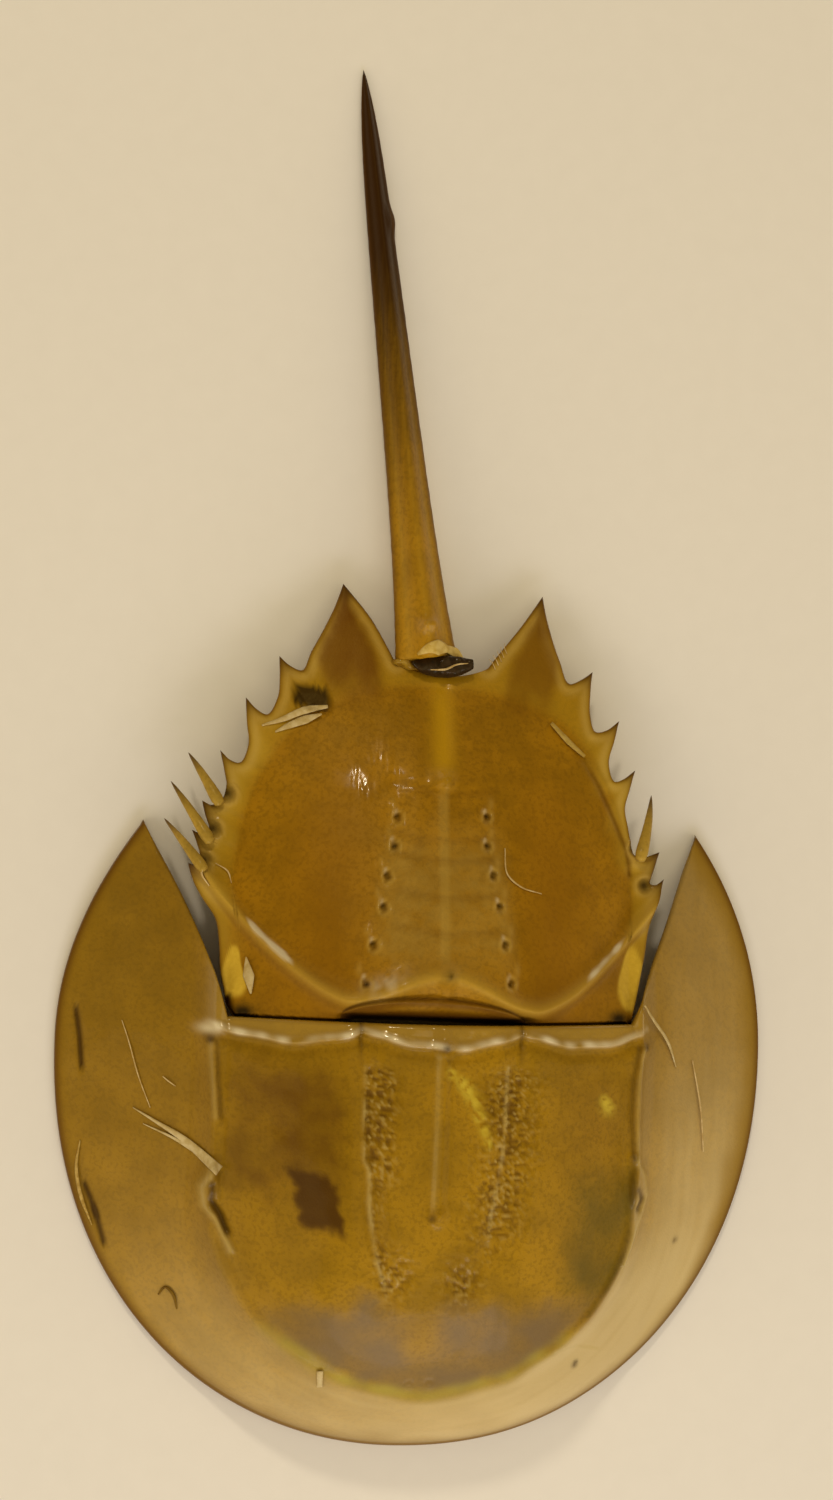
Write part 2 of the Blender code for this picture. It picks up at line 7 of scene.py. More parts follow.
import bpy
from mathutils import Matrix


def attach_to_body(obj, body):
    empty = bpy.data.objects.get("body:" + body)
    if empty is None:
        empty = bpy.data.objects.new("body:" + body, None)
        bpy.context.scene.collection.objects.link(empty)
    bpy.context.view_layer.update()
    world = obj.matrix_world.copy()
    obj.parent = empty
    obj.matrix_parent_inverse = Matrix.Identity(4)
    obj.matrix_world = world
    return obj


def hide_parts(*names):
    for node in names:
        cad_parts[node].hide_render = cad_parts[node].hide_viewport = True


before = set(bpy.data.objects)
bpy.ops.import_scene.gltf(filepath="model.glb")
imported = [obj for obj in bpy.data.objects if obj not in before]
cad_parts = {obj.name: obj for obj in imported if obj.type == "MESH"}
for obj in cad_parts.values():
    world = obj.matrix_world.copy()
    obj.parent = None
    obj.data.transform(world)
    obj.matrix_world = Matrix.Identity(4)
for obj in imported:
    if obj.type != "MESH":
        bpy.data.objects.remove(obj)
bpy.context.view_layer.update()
print("the frame has", len(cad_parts), "nodes")

# %% [markdown]
# Meshes are made with bmesh and placed with numpy arrays, which is quick and keeps every size in metres.

# %% Bring in the tools and list the frame's nodes
import math

import bmesh
import bpy
import numpy as np
from mathutils import Matrix, Vector, noise

MM = 0.001
print("nodes:", sorted(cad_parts))

# %% [markdown]
# Grown shapes have no straight edges, so heights are written as sums of soft functions of the plan position.
# Three of them do nearly all the work: a smooth step, a bell and a blend. They take whole arrays, which lets
# one line place a hundred thousand vertices.

# %% Soft functions


def mix(first, second, share):
    """Blends two values."""
    return first + (second - first) * share


def smooth(low, high, value):
    """Rises softly from 0 to 1 as value goes from low to high."""
    share = np.clip((value - low) / (high - low), 0.0, 1.0)
    return share * share * (3.0 - 2.0 * share)


def bell(distance, width):
    """1 at distance 0, falling away on both sides."""
    return np.exp(-(distance / width) ** 2)


def speckle(x, y, size, shift=0.0):
    """Smooth random heights between about -1 and 1, with lumps of the given size."""
    spots = zip((x / size).ravel().tolist(), (y / size).ravel().tolist())
    heights = [noise.noise(Vector((across, along, shift))) for across, along in spots]
    return np.array(heights).reshape(np.shape(x))


def line_distance(x, y, points):
    """Distance in plan to a line through a few points, in metres."""
    best = np.full(np.shape(x), 1.0)
    for (x0, y0), (x1, y1) in zip(points, points[1:]):
        span = (x1 - x0) ** 2 + (y1 - y0) ** 2
        share = np.clip(((x - x0) * (x1 - x0) + (y - y0) * (y1 - y0)) / span, 0.0, 1.0)
        best = np.minimum(best, np.hypot(x - x0 - share * (x1 - x0), y - y0 - share * (y1 - y0)))
    return best


def in_mm(pairs):
    """Plan points given in millimetres, as metres."""
    return [(x * MM, y * MM) for x, y in pairs]


print("halfway up the step:", float(smooth(0.0, 1.0, 0.5)), "and one width down the bell:",
      round(float(bell(1, 1)), 3))

# %% [markdown]
# The front shield seen from above is a superellipse, cut straight at the hinge and drawn out into two rear
# lobes. A sheet of grid columns runs from the hinge edge or a lobe's inner margin to the rim, like the
# ribs of a fan.

# %% Outline of the front shield
SHIELD_HALF_WIDTH = 66.0 * MM
SHIELD_WIDEST_Y = -54.0 * MM
SHIELD_FRONT = 72.6 * MM
SHIELD_REAR = 65.9 * MM
SHIELD_POWER = 2.1
SHIELD_HEIGHT = 35.0 * MM
RIM_THICKNESS = 1.5 * MM
LOBE_TIP_ANGLE = math.radians(127.4)
CORNER_ANGLE = math.radians(43.0)
HINGE_Y = -47.0 * MM
HINGE_HALF_WIDTH = 37.0 * MM
LOBE_BULGE = {-1.0: 1.4 * MM, 1.0: 0.5 * MM}
LOBE_PINCH = 1.2 * MM
LOBE_LEAN = 0.8 * MM


def rim_line(angle):
    """Plan points of the rim; angle 0 is the front, positive to the right."""
    side = np.copysign(np.abs(np.sin(angle)) ** (2.0 / SHIELD_POWER), angle)
    reach = np.abs(np.cos(angle)) ** (2.0 / SHIELD_POWER)
    length = np.where(np.cos(angle) > 0.0, -SHIELD_FRONT, SHIELD_REAR)
    toward_tip = smooth(0.72, 1.0, np.abs(angle) / LOBE_TIP_ANGLE)
    across = SHIELD_HALF_WIDTH * side - np.copysign(LOBE_PINCH, angle) * toward_tip
    return np.stack([across + LOBE_LEAN * toward_tip, SHIELD_WIDEST_Y + length * reach], axis=-1)


def inner_line(angle):
    """Where the rib that ends at rim_line(angle) starts: on the hinge edge or on a lobe's inner margin."""
    corner_x = rim_line(np.array(CORNER_ANGLE))[0]
    share = rim_line(angle)[..., 0] / corner_x
    hinge = np.stack([HINGE_HALF_WIDTH * share, np.full(np.shape(angle), HINGE_Y)], axis=-1)
    along = np.clip((np.abs(angle) - CORNER_ANGLE) / (LOBE_TIP_ANGLE - CORNER_ANGLE), 0.0, 1.0)[..., None]
    corner = np.stack([np.copysign(HINGE_HALF_WIDTH, angle), np.full(np.shape(angle), HINGE_Y)], axis=-1)
    lobe = mix(corner, rim_line(np.copysign(LOBE_TIP_ANGLE, angle)), along)
    bulge = np.where(angle < 0.0, LOBE_BULGE[-1.0], LOBE_BULGE[1.0])
    lobe[..., 0] += bulge * np.sin(math.pi * along[..., 0])
    return np.where((np.abs(angle) <= CORNER_ANGLE)[..., None], hinge, lobe)


print("lobe tip in mm:", np.round(rim_line(np.array(LOBE_TIP_ANGLE)) / MM, 1))

# %% [markdown]
# The shield's height starts from a dome that is steep in front and thins to a flange at the sides. On it lie
# the two ridges with the bean-shaped eyes, the keel, the furrows and the small spines of the rear lip.

# %% Form of the front shield
VAULT_HALF_WIDTH = 38.7 * MM
VAULT_START_Y = -82.0 * MM
VAULT_FRONT = 33.3 * MM
RIDGE_HEIGHT = 1.1 * MM
FLANK_DROP = 2.1 * MM
EYE = (39.6 * MM, -77.0 * MM)
EYE_HALF_SIZE = (1.7 * MM, 3.1 * MM)
EYE_HEIGHT = 1.7 * MM
KEEL_END_Y = -81.0 * MM
KEEL_HEIGHT = 0.8 * MM
FURROW_X = 14.0 * MM
FURROW_END_Y = -95.0 * MM
FURROW_DEPTH = 0.8 * MM
LIP_SPINES = in_mm([(-40.0, -51.4), (0.0, -51.3), (40.0, -51.4)])


def dome(x, y):
    """Height of the front shield without its relief."""
    ahead = np.maximum(0.0, (SHIELD_WIDEST_Y - y) / SHIELD_FRONT)
    across = np.abs(x) / SHIELD_HALF_WIDTH
    front = smooth(0.0, 1.0, ahead * ahead / (across * across + ahead * ahead + 1e-12))
    along = np.abs(y - SHIELD_WIDEST_Y) / np.where(y > SHIELD_WIDEST_Y, SHIELD_REAR, SHIELD_FRONT)
    radius = np.minimum(1.0, (across ** SHIELD_POWER + along ** SHIELD_POWER) ** (1.0 / SHIELD_POWER))
    body = (1.0 - radius ** (1.9 + 0.7 * front)) ** (1.25 - 0.63 * front)
    return RIM_THICKNESS + (SHIELD_HEIGHT - RIM_THICKNESS) * body


def vault_distance(x, y):
    """Distance outward from the ridge line that bounds the raised middle."""
    across = np.abs(x) / VAULT_HALF_WIDTH
    ahead = np.maximum(0.0, (VAULT_START_Y - y) / VAULT_FRONT)
    return ((across ** 1.85 + ahead ** 1.85) ** (1.0 / 1.85) - 1.0) * VAULT_HALF_WIDTH


def furrow_x(y):
    """Distance of each furrow from the midline."""
    lead = np.maximum(0.0, HINGE_Y - y)
    return FURROW_X - 0.075 * lead - 4.0 * MM * smooth(34.0 * MM, 50.0 * MM, lead)


def shield_form(x, y):
    """Height of the front shield with its large relief."""
    out = vault_distance(x, y)
    height = RIDGE_HEIGHT * bell(out, 1.3 * MM) * smooth(-116.0 * MM, -100.0 * MM, y)
    height -= (FLANK_DROP * smooth(0.0, 4.5 * MM, out) * bell(out, 17.0 * MM)
               * smooth(-118.0 * MM, -104.0 * MM, y))
    turned = ((np.abs(x) - EYE[0]) / EYE_HALF_SIZE[0]) ** 2 + ((y - EYE[1]) / EYE_HALF_SIZE[1]) ** 2
    height += EYE_HEIGHT * np.maximum(0.0, 1.0 - 0.5 * turned)
    height += KEEL_HEIGHT * bell(x, 1.1 * MM) * smooth(KEEL_END_Y - 3.0 * MM, KEEL_END_Y + 2.0 * MM, y)
    height += 0.9 * MM * bell(np.hypot(x, y - KEEL_END_Y), 1.5 * MM)
    open_end = smooth(FURROW_END_Y - 4.0 * MM, FURROW_END_Y + 10.0 * MM, y)
    height -= FURROW_DEPTH * bell(np.abs(x) - furrow_x(y), 1.9 * MM) * open_end
    for spine_x, spine_y in LIP_SPINES:
        height += 1.1 * MM * bell(np.hypot(x - spine_x, y - spine_y), 1.4 * MM)
    return dome(x, y) + height * smooth(RIM_THICKNESS, 6.0 * MM, dome(x, y))


crown = float(shield_form(np.array(0.0), np.array(-60.0 * MM)))
print("crown of the front shield in mm:", round(crown / MM, 1))

# %% [markdown]
# Finer marks come on top: the rolled lip with its three scallops, the net of wrinkles along the furrows, the
# pair of simple eyes in front, the bead along the rim, and the slack dents of a skin that has dried.

# %% Fine relief of the front shield
SCALLOP_X = 14.5 * MM
OUTER_SCALLOP = 25.5 * MM
LIP_NARROW = 1.5 * MM
LIP_WIDE = 4.0 * MM
LIP_RAMP = 1.4 * MM
SIMPLE_EYES = in_mm([(-2.1, -113.0), (1.6, -112.8)])
RIM_SLITS = [in_mm([(-62.5, -47.2), (-61.7, -52.1), (-61.2, -57.7)]),
             in_mm([(-59.9, -79.1), (-58.6, -82.0), (-57.6, -84.8)]),
             in_mm([(-58.0, -83.4), (-57.0, -86.6), (-56.0, -89.9)])]
FURROW_LINES = {-1.0: in_mm([(-13.5, -54.8), (-13.6, -66.0), (-13.5, -71.1), (-12.5, -73.0),
                             (-12.2, -79.4), (-10.5, -89.0), (-8.3, -94.4)]),
                1.0: in_mm([(12.0, -54.4), (11.9, -63.7), (11.5, -70.7), (10.8, -75.5), (9.9, -80.7),
                            (9.6, -86.2)])}
EYE_FOLDS = [in_mm([(-38.9, -74.6), (-40.6, -77.8), (-40.0, -81.2), (-37.9, -83.2), (-36.6, -85.8),
                    (-35.1, -89.0)]),
             in_mm([(38.6, -71.5), (41.4, -75.4), (42.1, -78.3), (41.2, -81.5), (39.5, -85.6),
                    (37.4, -91.0)])]
EYE_SLITS = [in_mm([(-38.8, -77.2), (-38.7, -80.2), (-37.2, -82.4), (-35.8, -85.6)]),
             in_mm([(39.6, -77.2), (40.9, -79.0), (39.9, -80.8)])]
SIDE_SEAMS = [in_mm([(-38.9, -51.5), (-38.3, -58.4), (-37.6, -65.0)]),
              in_mm([(38.4, -51.2), (37.5, -57.0), (37.5, -64.4), (38.3, -71.7)])]


def lip_width(x):
    """Width of the rolled lip: a scallop between the furrows and one on each side."""
    across = np.abs(x)
    middle = np.cos(0.5 * math.pi * np.minimum(1.0, across / SCALLOP_X))
    outer = np.sin(math.pi * np.clip((across - SCALLOP_X) / OUTER_SCALLOP, 0.0, 1.0))
    wavy = 0.35 * MM * np.sin(x / (2.3 * MM)) * np.sin(x / (5.1 * MM) + 1.0)
    return mix(LIP_NARROW, LIP_WIDE, np.where(across < SCALLOP_X, middle, 0.85 * outer) ** 0.8) + wavy


def furrow_net(x, y):
    """Share of the pitted net beside the furrows, 0 elsewhere."""
    share = np.zeros(np.shape(x))
    for side, points in FURROW_LINES.items():
        line_y, line_x = [point[1] for point in points[::-1]], [point[0] for point in points[::-1]]
        beside = x - np.interp(y, line_y, line_x)
        if side < 0.0:
            share += (smooth(-0.3 * MM, 0.6 * MM, beside) * smooth(6.8 * MM, 3.0 * MM, beside)
                      * smooth(-78.0 * MM, -71.0 * MM, y))
            share += 0.45 * bell(beside - 1.0 * MM, 1.6 * MM) * smooth(-71.0 * MM, -78.0 * MM, y)
        else:
            share += bell(beside - 0.6 * MM, 4.4 * MM) * smooth(-92.0 * MM, -80.0 * MM, y)
    share *= smooth(-53.5 * MM, -57.0 * MM, y) * smooth(-100.0 * MM, -94.0 * MM, y)
    for patch_x, patch_y in ((-7.2, -91.8), (5.4, -93.0)):
        share += bell(np.hypot(x - patch_x * MM, (y - patch_y * MM) * 0.8), 3.0 * MM)
    return np.clip(share, 0.0, 1.0)


print("furrow lines and eye folds:", len(FURROW_LINES), len(EYE_FOLDS))

# %% [markdown]
# The skin beside the furrows is drawn into a net. Noise crosses zero along thin winding lines, so its
# absolute value gives narrow ridges with small pits between them, which is what a dried net looks like.

# %% The net of wrinkles
def net_cells(x, y):
    """0 on the ridges of the net, larger inside its small pits."""
    return np.abs(speckle(x, y * 1.6, 1.7 * MM, 3.0)) + 0.4 * np.abs(speckle(x, y, 0.9 * MM, 9.0))


def furrow_ridge(x, y):
    """Share of the thin pale ridge along each furrow, stronger in some stretches."""
    share = np.zeros(np.shape(x))
    for points in FURROW_LINES.values():
        share += bell(line_distance(x, y, points), 0.4 * MM)
    return share * np.clip(0.7 + 1.3 * speckle(x, y, 3.6 * MM, 47.0), 0.0, 1.0)


net_here = furrow_net(np.array([-11.0 * MM]), np.array([-62.0 * MM]))
print("share of the net beside the left furrow:", np.round(net_here, 2))

# %% [markdown]
# All these marks are added up to one height. A mark that is deeper than the wall would push the outer skin
# through the inner one, and no picture from above would show it, so the sum is held well inside the wall.

# %% All fine marks of the front shield
FRONT_DEEPEST = 0.75 * MM


def shield_detail(x, y):
    """Small marks of the upper skin."""
    lead = HINGE_Y - y
    on_lip = smooth(0.0, 3.0 * MM, 40.5 * MM - np.abs(x)) * smooth(9.0 * MM, 6.0 * MM, lead)
    width = lip_width(x)
    ramp = np.clip((lead - width + LIP_RAMP) / LIP_RAMP, 0.0, 1.0)
    height = (0.2 + 0.62 * ramp) * MM * smooth(width + 0.8 * MM, width + 0.1 * MM, lead) * on_lip
    height -= 0.3 * MM * bell(lead - width - 1.6 * MM, 0.9 * MM) * on_lip
    height += (0.1 * MM * speckle(x, y * 0.6, 1.6 * MM, 17.0) * smooth(width + 1.0 * MM, width, lead)
               * on_lip)
    nick = bell(np.abs(np.abs(x) - SCALLOP_X), 0.35 * MM)
    height -= 0.5 * MM * nick * smooth(7.0 * MM, 2.0 * MM, lead)
    for spine_x, spine_y in LIP_SPINES:
        height += 0.35 * MM * bell(np.hypot(x - spine_x, y - spine_y), 0.6 * MM)
    height += 0.5 * MM * bell(np.hypot(x, y - KEEL_END_Y), 0.6 * MM)
    height += 0.12 * MM * bell(x + 1.0 * MM, 0.5 * MM) * smooth(KEEL_END_Y, KEEL_END_Y + 3.0 * MM, y)
    height -= 2.3 * MM * np.minimum(0.6, net_cells(x, y)) * furrow_net(x, y)
    height += 0.45 * MM * furrow_ridge(x, y)
    for fold in EYE_FOLDS:
        height += 1.1 * MM * bell(line_distance(x, y, fold), 0.7 * MM)
    for slit in EYE_SLITS:
        height -= 0.9 * MM * bell(line_distance(x, y, slit), 0.6 * MM)
    for seam_line in SIDE_SEAMS:
        height -= 0.4 * MM * bell(line_distance(x, y, seam_line), 0.5 * MM)
        height += 0.35 * MM * bell(line_distance(x - np.copysign(1.1 * MM, x), y, seam_line), 0.6 * MM)
    for eye_x, eye_y in SIMPLE_EYES:
        height += 0.7 * MM * bell(np.hypot(x - eye_x, y - eye_y), 0.8 * MM)
    out = vault_distance(x, y)
    height += 0.25 * MM * bell(out - 0.5 * MM, 0.5 * MM) * smooth(-104.0 * MM, -84.0 * MM, y)
    height += 0.22 * MM * speckle(x, y, 11.0 * MM) + 0.07 * MM * speckle(x, y, 3.2 * MM, 5.0)
    height *= smooth(RIM_THICKNESS, 3.0 * MM, dome(x, y))
    for slit in RIM_SLITS:
        height -= 0.6 * MM * bell(line_distance(x, y, slit), 0.45 * MM)
    return np.maximum(height, -np.minimum(FRONT_DEEPEST, 0.18 * dome(x, y)))


def shield_top(x, y):
    """Height of the front shield's upper skin."""
    return shield_form(x, y) + shield_detail(x, y)


print("lip width in mm on the midline and at a nick:",
      np.round(lip_width(np.array([0.0, SCALLOP_X])) / MM, 1))

# %% [markdown]
# A wall that is closed all round can be made from one flat grid: the grid is rolled so that each of its
# columns becomes a loop through the wall, out along the upper skin and back along the inner one. The seam is
# merged and the two ends are filled, which leaves a closed body with no stray faces.

# %% Roll a grid into a closed wall


def finish_piece(name, bm, stands_for=None):
    """Turns a bmesh into a smooth-shaded piece that rides on the body."""
    bmesh.ops.recalc_face_normals(bm, faces=bm.faces)
    mesh = bpy.data.meshes.new(name)
    bm.to_mesh(mesh)
    bm.free()
    mesh.shade_smooth()
    piece = bpy.data.objects.new(name, mesh)
    bpy.context.scene.collection.objects.link(piece)
    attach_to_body(piece, "root")
    if stands_for:
        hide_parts(stands_for)
    triangles = sum(len(face.vertices) - 2 for face in mesh.polygons)
    print(name, "has", triangles, "triangles")
    return piece


def rolled_wall(wall, first_end, last_end):
    """A closed body from an array of places, rows round the wall by columns along the piece."""
    rows, columns = wall.shape[:2]
    bm = bmesh.new()
    bmesh.ops.create_grid(bm, x_segments=columns - 1, y_segments=rows, size=1.0)
    bm.verts.ensure_lookup_table()
    places = np.concatenate([wall, wall[:1]]).reshape(-1, 3).tolist()
    for vert, place in zip(bm.verts, places):
        vert.co = place
    bmesh.ops.remove_doubles(bm, verts=bm.verts, dist=1e-7)
    rims = bmesh.ops.holes_fill(bm, edges=[edge for edge in bm.edges if edge.is_boundary], sides=0)["faces"]
    for rim in rims:
        centre = rim.calc_center_median()
        near_first = (centre - Vector(first_end)).length < (centre - Vector(last_end)).length
        poked = bmesh.ops.poke(bm, faces=[rim])
        poked["verts"][0].co = first_end if near_first else last_end
    return bm


def skin_under(form, plan, wall):
    """Places that lie one wall's thickness under the upper skin, along its normal."""
    step = 0.4 * MM
    x, y = plan[..., 0], plan[..., 1]
    slope_x = (form(x + step, y) - form(x - step, y)) / (2.0 * step)
    slope_y = (form(x, y + step) - form(x, y - step)) / (2.0 * step)
    normal = np.stack([-slope_x, -slope_y, np.ones(np.shape(x))], axis=-1)
    normal /= np.linalg.norm(normal, axis=-1, keepdims=True)
    top = np.stack([x, y, form(x, y)], axis=-1)
    return top - normal * np.asarray(wall)[..., None]


# %% [markdown]
# The front shield is one wall rolled along ribs that fan out from the hinge to the rim. Each rib goes out
# over the lip, the vault and the flange, turns at the rim, runs back under the flat fold and up inside.

# %% Front shield
WALL = 1.3 * MM
LIP_THICKNESS = 2.1 * MM
FOLD_WIDTH_SIDE = 9.0 * MM
FOLD_WIDTH_FRONT = 13.0 * MM
SHIELD_COLUMNS = 200
HINGE_RIBS = 95
SHIELD_ROWS = 165


def shield_wall(angles):
    """Places of the front shield's wall, one loop for each rib."""
    start = inner_line(angles)
    end = rim_line(angles)
    length = np.linalg.norm(end - start, axis=-1)
    along = (end - start) / length[:, None]
    scale = np.minimum(1.0, length / (14.0 * MM))
    ahead = np.maximum(0.0, (SHIELD_WIDEST_Y - end[:, 1]) / SHIELD_FRONT)
    across = end[:, 0] / SHIELD_HALF_WIDTH
    front = smooth(0.0, 1.0, ahead ** 2 / (across ** 2 + ahead ** 2 + 1e-12))
    fold = np.minimum(mix(FOLD_WIDTH_SIDE, FOLD_WIDTH_FRONT, front), 0.55 * length)
    groove = np.minimum(mix(3.6, 1.4, front) * MM, 0.2 * length)

    def plan(distance):
        return start + along * np.broadcast_to(distance, length.shape)[:, None]

    def skin(distance, top=shield_top, lift=0.0):
        place = plan(distance)
        return np.column_stack([place, top(place[:, 0], place[:, 1]) + lift])

    def low(distance, height):
        return np.column_stack([plan(distance), np.broadcast_to(height, length.shape)])

    lip = np.minimum(LIP_THICKNESS, 0.55 * skin(0.0)[:, 2])
    bead = 0.7 * MM * scale
    rows = []
    for turn in np.linspace(-0.5, 0.5, 9):
        lean = math.sin(math.pi * turn)
        rows.append(skin(bead * (1.0 - math.cos(math.pi * turn)), lift=-0.5 * lip * (1.0 - lean)))
    for share in np.linspace(0.0, 1.0, SHIELD_ROWS)[1:-1]:
        eased = mix(share, 0.5 - 0.5 * math.cos(math.pi * share), 0.4)
        rows.append(skin(mix(bead, length - bead, eased)))
    rim_top = skin(length - bead)[:, 2]
    for turn in np.linspace(0.5, -0.5, 9):
        height = 0.5 * rim_top * (1.0 + math.sin(math.pi * turn))
        rows.append(low(length - bead * (1.0 - math.cos(math.pi * turn)), height))
    inner_top = skin(length - groove, shield_form)[:, 2]
    ledge = np.minimum(1.2 * MM, 0.33 * inner_top)
    rows += [low(length - mix(bead, fold, share), 0.0) for share in (0.25, 0.5, 0.75, 1.0)]
    rows += [low(length - fold - 0.35 * bead, 0.25 * ledge), low(length - fold - 0.35 * bead, 0.75 * ledge)]
    rows += [low(length - mix(fold, groove, share), ledge) for share in (0.0, 0.3, 0.65, 1.0)]
    near_lip = 4.2 * MM * scale
    for share in np.linspace(0.0, 1.0, 26):
        place = plan(mix(length - groove, near_lip, share))
        wall = np.minimum(WALL, 0.35 * shield_form(place[:, 0], place[:, 1]))
        rows.append(skin_under(shield_form, place, wall))
    rows += [skin(mix(3.4, 0.9, share) * MM * scale, shield_form, -lip) for share in (0.0, 0.5, 1.0)]
    return np.stack(rows)


hinge_x = HINGE_HALF_WIDTH * np.linspace(0.0, 1.0, HINGE_RIBS)
corner_share = rim_line(np.array(CORNER_ANGLE))[0] / SHIELD_HALF_WIDTH
ribs = np.arcsin((hinge_x / HINGE_HALF_WIDTH * corner_share) ** (SHIELD_POWER / 2.0))
lobe_shares = np.linspace(0.0, 1.0, SHIELD_COLUMNS - HINGE_RIBS + 1)[1:-1]
lobe_ribs = mix(CORNER_ANGLE, LOBE_TIP_ANGLE, lobe_shares)
right_ribs = np.concatenate([ribs, lobe_ribs])
shield_angles = np.concatenate([-right_ribs[:0:-1], right_ribs])
lobe_tips = [Vector((*rim_line(np.array(side * LOBE_TIP_ANGLE)), 0.0)) + Vector((0.0, 0.4, 0.5)) * MM
             for side in (-1, 1)]
front_shield = finish_piece("front_shield", rolled_wall(shield_wall(shield_angles), *lobe_tips),
                            "prosoma")

# %% [markdown]
# The rear shield hangs from the hinge and is turned a little to the right. It has its own plan frame, with X
# across and Y back from the hinge. Its margin runs through spine tips, round notches and the edges between;
# a smooth curve is led through each stretch from one tip to the next, so only the tips stay sharp.

# %% Frame and margin of the rear shield
REAR_YAW = math.radians(-2.3)
REAR_ORIGIN = (-0.1 * MM, HINGE_Y)
BORDER_HALF_WIDTH = 36.9 * MM
BORDER_START_Y = 18.0 * MM
BORDER_LENGTH = 42.0 * MM
BORDER_POWER = 2.5
LEFT_MARGIN = [
    ("N", 8.9, 64.2), ("E", 10.6, 67.2), ("E", 13.6, 72.0),
    ("T", 18.8, 78.0), ("E", 20.2, 73.9), ("E", 22.4, 69.0), ("E", 24.4, 65.0), ("N", 26.0, 61.5),
    ("E", 28.4, 62.3),
    ("T", 30.2, 63.8), ("E", 30.0, 60.0), ("E", 30.2, 56.4), ("N", 32.0, 53.0), ("E", 33.9, 53.8),
    ("T", 36.0, 55.8), ("E", 35.6, 51.2), ("E", 35.2, 47.2), ("N", 36.6, 43.9), ("E", 38.7, 44.5),
    ("T", 40.2, 45.9), ("E", 39.3, 42.4), ("E", 38.8, 39.3), ("N", 39.6, 36.8), ("E", 41.4, 35.9),
    ("T", 43.0, 36.6), ("E", 42.2, 33.8), ("E", 41.4, 31.6), ("N", 41.6, 30.0), ("E", 42.9, 30.0),
    ("T", 44.5, 31.2), ("E", 43.5, 28.8), ("N", 42.9, 26.2), ("E", 43.8, 25.0),
    ("T", 45.0, 25.2), ("E", 43.6, 21.6), ("E", 42.0, 19.0), ("E", 39.6, 15.6),
    ("E", 38.7, 11.0), ("E", 38.4, 6.5), ("E", 37.6, 3.0),
]
RIGHT_MARGIN = [
    ("N", 8.4, 64.4), ("E", 10.3, 67.0), ("E", 14.4, 72.3),
    ("T", 18.6, 78.5), ("E", 19.3, 74.9), ("E", 20.6, 70.5), ("E", 22.0, 66.7), ("N", 23.8, 62.7),
    ("E", 26.3, 63.7),
    ("T", 28.3, 65.2), ("E", 28.0, 61.4), ("E", 28.0, 57.2), ("N", 29.0, 54.2), ("E", 31.2, 54.6),
    ("T", 33.6, 56.5), ("E", 32.8, 52.8), ("E", 31.7, 48.6), ("N", 32.8, 45.3), ("E", 34.6, 45.8),
    ("T", 36.9, 47.6), ("E", 36.0, 44.0), ("E", 35.1, 40.6), ("N", 35.7, 37.2), ("E", 36.4, 34.2),
    ("E", 37.4, 31.9), ("E", 39.6, 31.2),
    ("T", 42.2, 32.9), ("E", 41.3, 29.8), ("N", 40.6, 27.0), ("E", 41.7, 26.9),
    ("T", 43.2, 28.0), ("E", 42.4, 25.0), ("E", 41.6, 22.6), ("E", 40.6, 18.6),
    ("E", 39.9, 14.0), ("E", 39.0, 9.6), ("E", 38.2, 6.0), ("E", 37.4, 3.0),
]
COLUMN_STEP = 0.5 * MM


def to_shell(x, y):
    """Rear shield plan coordinates to the whole shell's."""
    cos, sin = math.cos(REAR_YAW), math.sin(REAR_YAW)
    return REAR_ORIGIN[0] + cos * x - sin * y, REAR_ORIGIN[1] + sin * x + cos * y


def to_rear(x, y):
    """The whole shell's plan coordinates to the rear shield's."""
    cos, sin = math.cos(REAR_YAW), math.sin(REAR_YAW)
    x, y = x - REAR_ORIGIN[0], y - REAR_ORIGIN[1]
    return cos * x + sin * y, cos * y - sin * x


def smooth_curve(points, step):
    """Places close together on a smooth curve through the given points."""
    knots = np.concatenate([[0.0], np.cumsum(np.linalg.norm(np.diff(points, axis=0), axis=1) ** 0.6)])
    slopes = np.gradient(points, knots, axis=0)
    places = []
    for index in range(len(points) - 1):
        span = knots[index + 1] - knots[index]
        count = max(3, int(np.linalg.norm(points[index + 1] - points[index]) / step) + 1)
        t = np.linspace(0.0, 1.0, count, endpoint=False)[:, None]
        first, leave = 2 * t ** 3 - 3 * t ** 2 + 1, t ** 3 - 2 * t ** 2 + t
        last, arrive = 3 * t ** 2 - 2 * t ** 3, t ** 3 - t ** 2
        places.append(first * points[index] + leave * span * slopes[index]
                      + last * points[index + 1] + arrive * span * slopes[index + 1])
    return np.concatenate(places)


def margin_line(margin):
    """The dense margin of one side, and for each place how far round the dome's border it belongs."""
    points = np.array([(across, back) for _kind, across, back in margin]) * MM
    tips = [index for index, entry in enumerate(margin) if entry[0] == "T"]
    stops = [0] + tips + [len(points) - 1]
    stretches = [smooth_curve(points[first:last + 1], COLUMN_STEP) for first, last in zip(stops, stops[1:])]
    line = np.concatenate(stretches)
    line = np.concatenate([line, points[-1:]])
    travelled = np.concatenate([[0.0], np.cumsum(np.linalg.norm(np.diff(line, axis=0), axis=1))])
    marks, shares = [], []
    for kind, across, back in margin:
        if kind == "N":
            side = (across * MM / BORDER_HALF_WIDTH) ** (BORDER_POWER / 2.0)
            behind = max(0.0, (back * MM - BORDER_START_Y) / BORDER_LENGTH) ** (BORDER_POWER / 2.0)
            nearest = np.argmin(np.hypot(line[:, 0] - across * MM, line[:, 1] - back * MM))
            marks.append(travelled[nearest])
            shares.append(math.atan2(side, behind) / (math.pi / 2.0))
    return line, np.interp(travelled, marks + [travelled[-1]], shares + [1.94])


margins = {-1.0: margin_line(LEFT_MARGIN), 1.0: margin_line(RIGHT_MARGIN)}
print("margin places, left and right:", len(margins[-1.0][0]), len(margins[1.0][0]))

